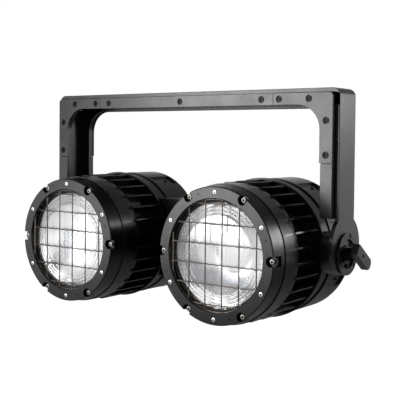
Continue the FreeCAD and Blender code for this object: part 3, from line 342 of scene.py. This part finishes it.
@dataclass(frozen=True)
class SpunMirror(Finish):
    """Spun and brightened aluminium: a soft mirror with fine turning rings round its axis, and soft
    grey patches of painted reflection in its colour.
    """

    ring_mm: float = 1.6
    ring_factor: float = 20  # the wave texture's own count of rings for one unit
    centre_x_mm: float = 0.0
    centre_z_mm: float = 0.0
    # size and noise levels of the grey patches, which are a painted reflection of dark things in
    # the bowl
    shade_mm: float = 60.0
    shade_levels: tuple[float, float] = (0.46, 0.64)
    dimple_mm: float = 14.0
    ring_share: float = 0.12
    relief_depth_mm: float = 0.5
    relief_strength: float = 0.3
    patch_mm: float = 30.0
    gloss_spread: tuple[float, float] = (0.05, 0.08)
    # the grey of the painted reflection
    shade: str = "#A9ABB0"

    def pattern(self, tree: bpy.types.NodeTree, shader: bpy.types.Node,
                coords: bpy.types.NodeSocket) -> None:
        """Draws the rings, the sheet's shallow dimples, and soft grey patches painted into its
        colour as blurred reflections of dark things.
        """
        # painted reflection: soft grey patches mixed into the base colour
        patch = add_node(tree, "ShaderNodeTexNoise",
                         {"Vector": coords, "Scale": per_metre(self.shade_mm), "Detail": 1.0})
        ranged = add_node(tree, "ShaderNodeMapRange",
                          {"Value": patch.outputs["Fac"], "From Min": self.shade_levels[0],
                           "From Max": self.shade_levels[1]})
        self.tinted(tree, shader, ranged.outputs["Result"], self.shade)
        centred = add_node(tree, "ShaderNodeMapping",
                           {"Vector": coords,
                            "Location": (-self.centre_x_mm * MM, 0.0, -self.centre_z_mm * MM)})
        rings = add_node(tree, "ShaderNodeTexWave",
                         {"Vector": centred.outputs["Vector"],
                          "Scale": per_metre(self.ring_mm) / self.ring_factor,
                          "Distortion": 0.4, "Detail": 2.0}, wave_type="RINGS", rings_direction="Y")
        dimple = add_node(tree, "ShaderNodeTexNoise",
                          {"Vector": coords, "Scale": per_metre(self.dimple_mm), "Detail": 1.0})
        both = add_node(tree, "ShaderNodeMath",
                        {0: rings.outputs["Fac"], 1: self.ring_share, 2: dimple.outputs["Fac"]},
                        operation="MULTIPLY_ADD")
        self.relief(tree, shader, both.outputs["Value"], self.relief_depth_mm,
                    self.relief_strength)
        self.uneven(tree, shader, coords, self.patch_mm, self.gloss_spread)


@dataclass(frozen=True)
class SmokedAcrylic(Finish):
    """Cast acrylic, smoked: a glossy dark window."""

    coat: float = 0.6
    haze: float = 0.04
    patch_mm: float = 8.0
    gloss_spread: tuple[float, float] = (0.0, 0.05)

    def pattern(self, tree: bpy.types.NodeTree, shader: bpy.types.Node,
                coords: bpy.types.NodeSocket) -> None:
        """Gives the polish a hair of haze."""
        shader.inputs["Coat Weight"].default_value = self.coat
        shader.inputs["Coat Roughness"].default_value = self.haze
        self.uneven(tree, shader, coords, self.patch_mm, self.gloss_spread)


@dataclass(frozen=True)
class PressedFibre(Finish):
    """Pressed friction lining: brown-grey fibre and resin, quite rough."""

    fleck_mm: float = 1.2
    fleck_depth_mm: float = 0.1
    fleck_strength: float = 0.4
    fleck: str = "#5A5048"

    def pattern(self, tree: bpy.types.NodeTree, shader: bpy.types.Node,
                coords: bpy.types.NodeSocket) -> None:
        """Draws flecks of fibre."""
        flecks = add_node(tree, "ShaderNodeTexVoronoi",
                          {"Vector": coords, "Scale": per_metre(self.fleck_mm)})
        self.tinted(tree, shader, flecks.outputs["Distance"], self.fleck)
        self.relief(tree, shader, flecks.outputs["Distance"], self.fleck_depth_mm,
                    self.fleck_strength)


YOKE_COAT = PowderCoat("satin_powder_coat", "frame_black", "#0A0B0C", 0.29, ior=1.45,
                       specular=0.46, tint="#141517")
LAMP_COAT = CastCoat("black_cast_aluminium", "cast_black", "#08090A", 0.28, ior=1.45,
                     specular=0.34, tint="#0E0F10")
ZINC = MachinedSteel("zinc_plated_steel", "steel", "#DEDCD8", 0.3, metallic=1.0, dull="#B4B1AB")
# a darker, rougher zinc for the captive screw heads
DULL_ZINC = MachinedSteel("worn_zinc_plate", "steel", "#8E8B86", 0.42, metallic=1.0, dull="#65625D")
BLACK_STEEL = MachinedSteel("blackened_steel", "black_steel", "#1D1D1E", 0.34, metallic=1.0,
                            dull="#101011")
# near black painted on the socket walls of the screw heads: painted shade, in place of the shade
# inside the sockets
SOCKET_SHADE = MachinedSteel("oiled_hexagon_socket", "steel", "#1C1A18", 0.5, metallic=1.0,
                             dull="#0E0D0C")
WIRE = MachinedSteel("drawn_wire", "grille_steel", "#6E665F", 0.34, metallic=1.0,
                     dull="#47413C", streak_mm=2.2)
GLASS = ClearGlass("borosilicate_glass", "lens_glass", "#FFFFFF", 0.17, ior=1.47)
RUBBER = SoftRubber("epdm_rubber", "gasket_rubber", "#0A0A0A", 0.75)
EMITTER = MouldedPlastic("silicone_over_leds", "led_white", "#FAFAFC", 0.35, grain_mm=2.0)
FAN_PLASTIC = MouldedPlastic("glass_filled_nylon", "fan_plastic", "#121213", 0.5)
DISPLAY = SmokedAcrylic("smoked_acrylic", "display_plastic", "#0B0F14", 0.08, ior=1.49)
KEY_PLASTIC = MouldedPlastic("grey_abs", "button_plastic", "#6A6C70", 0.42)
SOCKET_PLASTIC = MouldedPlastic("black_nylon", "socket_plastic", "#17181A", 0.45)
BLUE_PLASTIC = MouldedPlastic("blue_nylon", "socket_blue", "#1E4E9A", 0.42)
LINING = PressedFibre("friction_fibre", "friction_lining", "#6E6258", 0.8)


def dress(node: str, finish: Finish) -> None:
    """Gives a node that stays its finish, and leaves its mesh alone."""
    thing = frame["nodes"][node]
    if not thing.material_slots:
        thing.data.materials.append(finish.material())
    for place in thing.material_slots:
        place.link = "OBJECT"
        place.material = finish.material()
    LOG.info("dressed %s in %s", node, finish.name)


def keep(name: str, bm: bmesh.types.BMesh, finish: Finish, body: str, replaces: Sequence[str] = (),
         crease: float = 30.0) -> bpy.types.Object:
    """Turns a finished bmesh into a piece that rides on a body.

    Args:
        name: the piece's name.
        bm: its mesh, in metres, which is freed here.
        finish: its finish and slot.
        body: the body that it rides on.
        replaces: the nodes that it stands for.
        crease: the angle in degrees past which an edge stays sharp.

    Returns:
        The new object.
    """
    for face in bm.faces:
        face.smooth = True
    for edge in bm.edges:
        edge.smooth = edge.is_manifold and edge.calc_face_angle() < math.radians(crease)
    mesh = bpy.data.meshes.new(name)
    bm.to_mesh(mesh)
    bm.free()
    mesh.materials.append(finish.material())
    piece = bpy.data.objects.new(name, mesh)
    bpy.context.scene.collection.objects.link(piece)
    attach(piece, body)
    if replaces:
        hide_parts(*replaces)
    LOG.info("built %s on %s, %d faces", name, body, len(mesh.polygons))
    return piece


def soften(node: str, finish: Finish, width: float, segments: int = 2,
           angle: float = 30.0) -> bpy.types.Object:
    """Rounds the edges of a node's solid, as paint and a casting's radius do.

    Args:
        node: the node whose solid is copied and then replaced.
        finish: its finish.
        width: how far the rounding reaches from each edge, in millimetres.
        segments: how many faces the rounding has.
        angle: the angle in degrees from which an edge is rounded.

    Returns:
        The new piece.
    """
    bm = bmesh.new()
    bm.from_mesh(frame["nodes"][node].data)
    for layer in list(bm.loops.layers.uv):
        bm.loops.layers.uv.remove(layer)
    bmesh.ops.remove_doubles(bm, verts=bm.verts, dist=WELD)
    bmesh.ops.dissolve_limit(bm, angle_limit=math.radians(0.2), verts=bm.verts, edges=bm.edges)
    body = frame["nodes"][node]["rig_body"]
    piece = keep(node + "_shell", bm, finish, body, (node,), crease=angle)
    if "custom_normal" in piece.data.attributes:
        piece.data.attributes.remove(piece.data.attributes["custom_normal"])
    rounding = piece.modifiers.new("rounded_edges", "BEVEL")
    rounding.width = width * MM
    rounding.segments = segments
    rounding.limit_method = "ANGLE"
    rounding.angle_limit = math.radians(angle)
    rounding.use_clamp_overlap = False
    rounding.harden_normals = True
    rounding.miter_outer = "MITER_ARC"
    return piece


def spun(profile: Sequence[tuple[float, float]], axis: tuple[float, float],
         steps: int = 128) -> bmesh.types.BMesh:
    """Turns a section round a lamp's axis.

    Args:
        profile: the section's points as (radius, y), in millimetres; it is closed end to start.
        axis: the x and z of the axis, in millimetres.
        steps: how many faces go round.

    Returns:
        The closed mesh, its faces outwards.
    """
    bm = bmesh.new()
    centre = Vector((axis[0], 0.0, axis[1])) * MM
    ring = [bm.verts.new(centre + Vector((radius, y, 0.0)) * MM) for radius, y in profile]
    edges = [bm.edges.new(pair) for pair in zip(ring, ring[1:] + ring[:1])
             if max(vert.co.x for vert in pair) - centre.x > SLIVER]
    bmesh.ops.spin(bm, geom=ring + edges, cent=centre, axis=(0.0, 1.0, 0.0), angle=math.tau,
                   steps=steps, use_merge=True, use_duplicate=False)
    bmesh.ops.remove_doubles(bm, verts=bm.verts, dist=WELD)
    bmesh.ops.dissolve_degenerate(bm, edges=bm.edges, dist=SLIVER)
    bmesh.ops.recalc_face_normals(bm, faces=bm.faces)
    return bm


def rod(bm: bmesh.types.BMesh, path: Sequence[Vector], radius: float, sides: int = 8) -> None:
    """Draws a round wire along a path.

    Args:
        bm: the mesh that gets the wire.
        path: the middle of the wire, in metres.
        radius: its radius, in millimetres.
        sides: how many faces go round it.
    """
    turn = (path[1] - path[0]).to_track_quat("Z", "Y").to_matrix().to_4x4()
    made = bmesh.ops.create_circle(bm, segments=sides, radius=radius * MM,
                                   matrix=Matrix.Translation(path[0]) @ turn)
    loop = list({edge for vert in made["verts"] for edge in vert.link_edges})
    ends = list(loop)
    for here, there in zip(path, path[1:]):
        grown = bmesh.ops.extrude_edge_only(bm, edges=loop)["geom"]
        bmesh.ops.translate(bm, verts=[g for g in grown if isinstance(g, bmesh.types.BMVert)],
                            vec=there - here)
        loop = [g for g in grown if isinstance(g, bmesh.types.BMEdge)]
    bmesh.ops.edgeloop_fill(bm, edges=ends)
    bmesh.ops.edgeloop_fill(bm, edges=loop)


def socket_head(bm: bmesh.types.BMesh, place: Vector, radius: float, height: float) -> None:
    """Makes one cap head that faces -Y, with its hexagon socket, whose walls take painted shade,
    and a broken edge.

    Args:
        bm: the mesh that gets the head.
        place: the middle of the head's seat, in metres.
        radius: the head's radius, in millimetres.
        height: how far the head stands in front of its seat, in millimetres.
    """
    turn = Matrix.Rotation(math.radians(90.0), 4, "X")
    middle = place - Vector((0, height / 2 * MM, 0))
    made = bmesh.ops.create_cone(bm, cap_ends=True, segments=HEAD_SIDES, radius1=radius * MM,
                                 radius2=radius * MM, depth=height * MM,
                                 matrix=Matrix.Translation(middle) @ turn)
    verts = set(made["verts"])
    face = next(f for v in verts for f in v.link_faces
                if len(f.verts) == HEAD_SIDES and f.normal.y < FACING)
    bmesh.ops.bevel(bm, geom=list(face.edges), offset=HEAD_EDGE * radius * MM, offset_type="OFFSET",
                    segments=2, profile=0.5, affect="EDGES", material=-1)
    bm.faces.ensure_lookup_table()
    face = min((f for f in bm.faces if len(f.verts) == HEAD_SIDES and f.normal.y < FACING
                and (f.calc_center_median() - place).length < 2 * height * MM),
               key=lambda f: (f.calc_center_median() - place).length)
    bmesh.ops.inset_region(bm, faces=[face], thickness=HEAD_RIM * radius * MM, depth=0.0)
    bmesh.ops.inset_region(bm, faces=[face], thickness=SOCKET_DRAFT * radius * MM,
                           depth=-SOCKET_DEPTH * height * MM)
    # the socket's walls take the second material, near-black painted shade
    for edge in face.edges:
        for wall in edge.link_faces:
            wall.material_index = 1


@dataclass
class Yoke:
    """The bent strap with its rails, plates, gussets and covers."""

    strap_edge: float = 0.8
    plate_edge: float = 0.45
    rail_edge: float = 0.5

    def build(self) -> None:
        """Rounds and coats each plate, and blackens the screws."""
        soften("yoke_strap", YOKE_COAT, self.strap_edge)
        for depth in ("front", "rear"):
            soften("rail_" + depth, YOKE_COAT, self.rail_edge)
            soften("beam_plate_" + depth, YOKE_COAT, self.plate_edge)
            for side in Side:
                soften(f"gusset_{depth}_{side.word}", YOKE_COAT, self.plate_edge)
                soften(f"arm_cover_{depth}_{side.word}", YOKE_COAT, self.plate_edge)
        dress("plate_screws", BLACK_STEEL)


@dataclass
class Pivot:
    """The tilt joint at one arm's end: boss, hub, clamp lever and its stud."""

    side: Side
    boss_edge: float = 0.4
    lever_edge: float = 1.2

    def build(self) -> None:
        """Rounds the boss and the lever, and dresses what they hold."""
        word = self.side.word
        soften("pivot_boss_" + word, LAMP_COAT, self.boss_edge)
        soften("lever_" + word, LAMP_COAT, self.lever_edge, segments=3)
        soften("tilt_hub_" + word, LAMP_COAT, self.boss_edge)
        dress("lever_stud_" + word, BLACK_STEEL)


# the bowl's section: how far out from throat to mouth, and how deep
BOWL_SHARES = ((1.0, 0.0), (0.985, 0.05), (0.97, 0.1), (0.95, 0.11), (0.94, 0.2),
               (0.915, 0.215), (0.89, 0.3), (0.83, 0.42), (0.75, 0.53), (0.66, 0.64),
               (0.55, 0.735), (0.42, 0.83), (0.26, 0.915), (0.12, 0.975), (0.0, 1.0))


@dataclass
class Lamp:
    """One lamp: bezel, grille, glass, bowl, emitter, heat sink, rear cap and fan."""

    side: Side
    axis_x: float = LAMP_X
    axis_z: float = LAMP_Z
    bezel_edge: float = 0.25
    sink_edge: float = 0.45
    cap_edge: float = 0.6
    wire_radius: float = 1.12
    wire_pitch: float = 33.6
    wire_count: int = 6
    wire_shift: tuple[float, float] = (-3.0, 1.5)
    wire_reach: float = 93.3
    upright_y: float = -162.5
    level_y: float = -160.9
    wave: float = 0.55
    wave_length: float = 15.0
    rim: tuple[float, float] = (93.1, 100.8)
    rim_y: tuple[float, float] = (-160.0, -159.1)
    lens_edge: float = 93.5
    lens_flat: float = 88.7
    lens_rim: float = 3.0
    lens_gap: float = 0.05
    lens_rise: float = 2.9
    lens_dome: tuple[float, ...] = (20.0, 40.0, 58.0, 66.0)
    lens_rings: tuple[float, ...] = (68.0, 74.0, 80.0, 86.0)
    lens_ring: tuple[tuple[float, float], ...] = ((0.8, 0.7), (1.6, 0.9), (2.4, 0.3))
    bowl_mouth: float = 87.5
    bowl_throat: float = 34.0
    bowl_wall: float = 1.1
    fan_hub: float = 18.0
    fan_bore: float = 3.4
    fan_nose: float = 4.0
    nose_bevel: float = 0.3
    fan_radius: float = 55.4
    fan_blades: int = 7
    blade_pitch: tuple[float, float] = (48.0, 30.0)
    blade_width: float = 24.0
    blade_taper: tuple[float, float] = (0.82, 0.18)
    blade_sunk: float = 1.0
    blade_bow: float = 1.4
    blade_thick: float = 1.4
    mirror: SpunMirror = field(init=False)

    def __post_init__(self) -> None:
        """Centres the bowl's turning rings on this lamp."""
        self.axis_x *= self.side.value
        self.mirror = SpunMirror("spun_aluminium_" + self.side.word, "bright_reflector", "#FCFCFC",
                                 0.34, metallic=0.55, centre_x_mm=self.axis_x,
                                 centre_z_mm=self.axis_z)

    def node(self, kind: str) -> str:
        """The name of this lamp's node of that kind."""
        return f"{kind}_{self.side.word}"

    def place(self, x: float, y: float, z: float) -> Vector:
        """A point given from the lamp's axis in millimetres, in metres in the frame."""
        return Vector((self.axis_x + x, y, self.axis_z + z)) * MM

    def build(self) -> None:
        """Builds the lamp from front to back."""
        soften(self.node("bezel"), LAMP_COAT, self.bezel_edge)
        soften(self.node("heat_sink"), LAMP_COAT, self.sink_edge)
        soften(self.node("rear_cap"), LAMP_COAT, self.cap_edge)
        dress(self.node("lens_barrel"), LAMP_COAT)
        dress(self.node("lens_gasket"), RUBBER)
        self.grille()
        self.lens()
        self.bowl()
        dress(self.node("led_module"), EMITTER)
        dress(self.node("fan_guard"), FAN_PLASTIC)
        self.rotor()

    def grille(self) -> None:
        """Weaves the wires: the upright ones straight, the level ones bent round them."""
        inner, outer = self.rim
        front, rear = self.rim_y
        bm = spun([(inner, front), (outer, front), (outer, rear), (inner, rear)],
                  (self.axis_x, self.axis_z), 96)
        middle = (self.wire_count - 1) / 2
        for number in range(self.wire_count):
            x = self.wire_shift[0] + (number - middle) * self.wire_pitch
            half = math.sqrt(self.wire_reach ** 2 - x ** 2)
            rod(bm, [self.place(x, self.upright_y, -half), self.place(x, self.upright_y, half)],
                self.wire_radius)
            z = self.wire_shift[1] + (number - middle) * self.wire_pitch
            half = math.sqrt(self.wire_reach ** 2 - z ** 2)
            steps = int(2 * half / self.wave_length * 6)
            along = [-half + 2 * half * i / steps for i in range(steps + 1)]
            rod(bm, [self.place(x, self.level_y,
                                z + self.wave * math.sin(math.tau * x / self.wave_length + z))
                     for x in along], self.wire_radius)
        bmesh.ops.recalc_face_normals(bm, faces=bm.faces)
        keep(self.node("woven_grille"), bm, WIRE, "head", (self.node("grille"),), crease=50.0)

    def lens(self) -> None:
        """Presses the glass: a low dome with shallow rings near its rim."""
        low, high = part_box(self.node("lens"))
        edge, flat = self.lens_edge, self.lens_flat
        front, back = low.y / MM, high.y / MM
        rim_front = front + self.lens_rim
        section = [(0.0, front + self.lens_gap)]
        for radius in self.lens_dome + self.lens_rings:
            level = front + self.lens_gap + self.lens_rise * (radius / flat) ** 2
            section.append((radius, level))
            if radius in self.lens_rings:
                section += [(radius + out, level + up) for out, up in self.lens_ring]
        section += [(flat + self.lens_ring[0][0], rim_front), (edge, rim_front), (edge, back),
                    (0.0, back)]
        bm = spun(section, (self.axis_x, self.axis_z))
        keep(self.node("ringed_lens"), bm, GLASS, "head", (self.node("lens"),), crease=40.0)

    def bowl(self) -> None:
        """Spins the bowl, with the steps of its rim and a soft corner at its throat."""
        low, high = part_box(self.node("reflector"))
        front, rear = low.y / MM, high.y / MM
        mouth, throat, wall = self.bowl_mouth, self.bowl_throat, self.bowl_wall
        inside = [(throat + (mouth - throat) * across, front + (rear - front) * deep)
                  for across, deep in BOWL_SHARES]
        outside = [(radius + wall, y) for radius, y in reversed(inside)]
        bm = spun(inside + outside, (self.axis_x, self.axis_z))
        keep(self.node("spun_bowl"), bm, self.mirror, "head", (self.node("reflector"),),
             crease=35.0)

    def rotor(self) -> None:
        """Moulds the fan: a hub with a round nose, and blades that twist from root to tip."""
        low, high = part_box(self.node("fan_rotor"))
        front, rear = low.y / MM, high.y / MM
        middle = (front + rear) / 2
        hub, bore, nose = self.fan_hub, self.fan_bore, self.fan_nose
        bevel = self.nose_bevel * nose
        bm = spun([(bore, front), (hub - nose, front), (hub - bevel, front + bevel),
                   (hub, front + nose), (hub, rear), (bore, rear)], (self.axis_x, self.axis_z), 48)
        centre = self.place(0.0, middle, 0.0)
        for number in range(self.fan_blades):
            made = bmesh.ops.create_grid(bm, x_segments=10, y_segments=5, size=0.5)["verts"]
            for vert in made:
                out, chord = vert.co.x + 0.5, vert.co.y
                pitch = math.radians(self.blade_pitch[0]
                                     + (self.blade_pitch[1] - self.blade_pitch[0]) * out)
                width = self.blade_width * (self.blade_taper[0] + self.blade_taper[1] * out)
                bow = self.blade_bow * (1 - 4 * chord ** 2)
                radius = hub - self.blade_sunk + (self.fan_radius - hub + self.blade_sunk) * out
                vert.co = Vector((radius, chord * width * math.sin(pitch) + bow * math.cos(pitch),
                                  chord * width * math.cos(pitch) - bow * math.sin(pitch))) * MM
            faces = list({face for vert in made for face in vert.link_faces})
            thick = bmesh.ops.solidify(bm, geom=faces, thickness=self.blade_thick * MM)["geom"]
            verts = {v for g in list(thick) + faces if isinstance(g, bmesh.types.BMFace)
                     for v in g.verts}
            turn = Matrix.Rotation(math.tau * number / self.fan_blades, 4, "Y")
            bmesh.ops.transform(bm, matrix=Matrix.Translation(centre) @ turn, verts=list(verts))
        bmesh.ops.recalc_face_normals(bm, faces=bm.faces)
        node = self.node("fan_rotor")
        keep(self.node("twisted_rotor"), bm, FAN_PLASTIC, frame["nodes"][node]["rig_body"], (node,),
             crease=40.0)


@dataclass
class ControlBox:
    """The box between the lamps, with its panel, display, keys and sockets."""

    box_edge: float = 0.8
    panel_edge: float = 0.3
    keys: int = 4

    def build(self) -> None:
        """Coats the box, and dresses what its panel carries."""
        soften("box_housing", LAMP_COAT, self.box_edge)
        soften("rear_panel", YOKE_COAT, self.panel_edge)
        dress("display_window", DISPLAY)
        for number in range(1, self.keys + 1):
            dress(f"button_{number}", KEY_PLASTIC)
        for name in ("data_inlet", "data_outlet", "power_outlet"):
            dress(name, SOCKET_PLASTIC)
        dress("power_inlet", BLUE_PLASTIC)


@dataclass(frozen=True)
class ScrewRing:
    """The like screws round both bezels: where they sit and how large their heads are."""

    name: str
    node: str
    circle: float
    first: float
    radius: float
    height: float
    seat_y: float
    finish: Finish = ZINC
    count: int = 6
    axis_x: float = LAMP_X
    axis_z: float = LAMP_Z

    def build(self) -> None:
        """Makes every head with its socket, whose walls are painted near black as shade."""
        bm = bmesh.new()
        for side in Side:
            for number in range(self.count):
                angle = math.radians(self.first + number * 360.0 / self.count)
                place = Vector((side.value * self.axis_x + self.circle * math.cos(angle),
                                self.seat_y,
                                self.axis_z + self.circle * math.sin(angle))) * MM
                socket_head(bm, place, self.radius, self.height)
        heads = keep(self.name, bm, self.finish, "head", (self.node,), crease=40.0)
        # the second material: painted shade for the socket walls
        heads.data.materials.append(SOCKET_SHADE.material())


@dataclass
class Fasteners:
    """The screws that more than one piece shares, and the lining discs."""

    def build(self) -> None:
        """Makes the bezels' screws anew, and dresses the other groups."""
        ScrewRing("bezel_screw_heads", "bezel_screws", circle=105.6, first=30.0, radius=3.6,
                  height=2.0, seat_y=-164.0).build()
        ScrewRing("captive_screw_heads", "captive_screws", circle=109.1, first=0.0, radius=4.2,
                  height=3.4, seat_y=-158.3, finish=DULL_ZINC).build()
        for name in ("boss_screws", "cap_screws"):
            dress(name, BLACK_STEEL)
        dress("friction_discs", LINING)


@dataclass(frozen=True)
class Softbox:
    """A soft lamp of the studio, aimed at the object."""

    name: str
    place: tuple[float, float, float]
    aim: tuple[float, float, float]
    width: float
    height: float
    watts: float
    tint: str = WHITE

    def light(self) -> None:
        """Hangs the lamp."""
        data = bpy.data.lights.new(self.name, "AREA")
        data.shape = "RECTANGLE"
        data.size = self.width
        data.size_y = self.height
        data.energy = self.watts
        data.color = linear(self.tint)[:3]
        lamp = bpy.data.objects.new(self.name, data)
        lamp.location = self.place
        way = Vector(self.aim) - Vector(self.place)
        lamp.rotation_euler = way.to_track_quat("-Z", "Y").to_euler()
        bpy.context.scene.collection.objects.link(lamp)


@dataclass
class Studio:
    """The pale floor, the white surround, the soft lamps and the camera."""

    camera_place: tuple[float, float, float] = (0.96964, -1.290418, -0.089878)
    yaw: float = 36.48009
    pitch: float = 1.82775
    roll: float = 0.54105
    lens: float = 75.79258
    sensor: float = 36.0
    clip: tuple[float, float] = (0.05, 50.0)
    shift: tuple[float, float] = (0.003917, -0.082948)
    floor_z: float = -1.6
    floor_size: float = 14.0
    floor_glow: float = 0.9
    floor_paint: str = "#CBCBCB"
    surround: float = 0.25
    wall_top: tuple[float, float] = (0.1, 0.45)
    ceiling: float = 0.1

    def build(self) -> None:
        """Sets the stage."""
        self.floor()
        self.world()
        for softbox in (
            Softbox("front_softbox", (-1.08, -2.05, 0.06), (0.17, -0.16, -0.28), 1.05, 1.05, 45.0),
            Softbox("fill_softbox", (-1.6, -1.55, -0.5), (-0.17, -0.16, -0.28), 0.6, 0.4, 1.6),
            Softbox("rear_softbox", (1.46, 1.27, 0.28), (0.28, -0.15, -0.25), 0.52, 0.56, 13.5),
        ):
            softbox.light()
        self.camera()

    def floor(self) -> None:
        """Lays the pale floor well under the hanging lamps, where it keeps their shadow."""
        bm = bmesh.new()
        bmesh.ops.create_grid(bm, x_segments=1, y_segments=1, size=self.floor_size / 2)
        bmesh.ops.translate(bm, verts=bm.verts, vec=(0.0, 0.0, self.floor_z))
        mesh = bpy.data.meshes.new("floor")
        bm.to_mesh(mesh)
        bm.free()
        mat = bpy.data.materials.new("pale_floor")
        mat.use_nodes = True
        tree = mat.node_tree
        tree.nodes.clear()
        paint = add_node(tree, "ShaderNodeBsdfDiffuse", {"Color": linear(self.floor_paint)})
        path = add_node(tree, "ShaderNodeLightPath")
        seen = add_node(tree, "ShaderNodeMath",
                        {0: path.outputs["Is Camera Ray"], 1: self.floor_glow},
                        operation="MULTIPLY")
        glow = add_node(tree, "ShaderNodeEmission", {"Color": linear(WHITE),
                                                     "Strength": seen.outputs["Value"]})
        both = add_node(tree, "ShaderNodeAddShader", {0: paint.outputs["BSDF"],
                                                      1: glow.outputs["Emission"]})
        add_node(tree, "ShaderNodeOutputMaterial", {"Surface": both.outputs["Shader"]})
        mesh.materials.append(mat)
        floor = bpy.data.objects.new("floor", mesh)
        bpy.context.scene.collection.objects.link(floor)

    def world(self) -> None:
        """Surrounds the object with white walls, which gloss mirrors up to where they end."""
        world = bpy.data.worlds.new("white_surround")
        world.use_nodes = True
        tree = world.node_tree
        tree.nodes.clear()
        path = add_node(tree, "ShaderNodeLightPath")
        way = add_node(tree, "ShaderNodeSeparateXYZ",
                       {"Vector": add_node(tree, "ShaderNodeTexCoord").outputs["Object"]})
        wall = add_node(tree, "ShaderNodeMapRange",
                        {"Value": way.outputs["Z"], "From Min": self.wall_top[0],
                         "From Max": self.wall_top[1], "To Min": 1.0, "To Max": self.ceiling},
                        interpolation_type="SMOOTHSTEP")
        mirrored = add_node(tree, "ShaderNodeMath",
                            {0: path.outputs["Is Glossy Ray"], 1: wall.outputs["Result"]},
                            operation="MULTIPLY")
        shown = add_node(tree, "ShaderNodeMath",
                         {0: path.outputs["Is Camera Ray"], 1: mirrored.outputs["Value"]},
                         operation="MAXIMUM")
        shown = add_node(tree, "ShaderNodeMath",
                         {0: shown.outputs["Value"], 1: path.outputs["Is Transmission Ray"]},
                         operation="MAXIMUM")
        level = add_node(tree, "ShaderNodeMapRange",
                         {"Value": shown.outputs["Value"], "To Min": self.surround, "To Max": 1.0})
        back = add_node(tree, "ShaderNodeBackground",
                        {"Color": linear(WHITE), "Strength": level.outputs["Result"]})
        add_node(tree, "ShaderNodeOutputWorld", {"Surface": back.outputs["Background"]})
        bpy.context.scene.world = world

    def camera(self) -> None:
        """Stands the camera where the photograph was taken from."""
        data = bpy.data.cameras.new("camera")
        data.lens = self.lens
        data.sensor_width = self.sensor
        data.shift_x, data.shift_y = self.shift
        data.clip_start, data.clip_end = self.clip
        camera = bpy.data.objects.new("camera", data)
        turn = Euler((math.radians(90 - self.pitch), 0.0, math.radians(self.yaw))).to_matrix()
        turn = turn @ Matrix.Rotation(math.radians(self.roll), 3, "Z")
        camera.matrix_world = Matrix.Translation(self.camera_place) @ turn.to_4x4()
        bpy.context.scene.collection.objects.link(camera)
        bpy.context.scene.camera = camera


def main() -> None:
    """Builds every sub-assembly in order."""
    logging.basicConfig(level=logging.INFO, format="%(name)s: %(message)s")
    bpy.context.scene.view_settings.view_transform = "Standard"
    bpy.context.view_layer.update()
    Studio().build()
    Yoke().build()
    for side in Side:
        Pivot(side).build()
        Lamp(side).build()
    ControlBox().build()
    Fasteners().build()


if __name__ == "__main__":
    main()
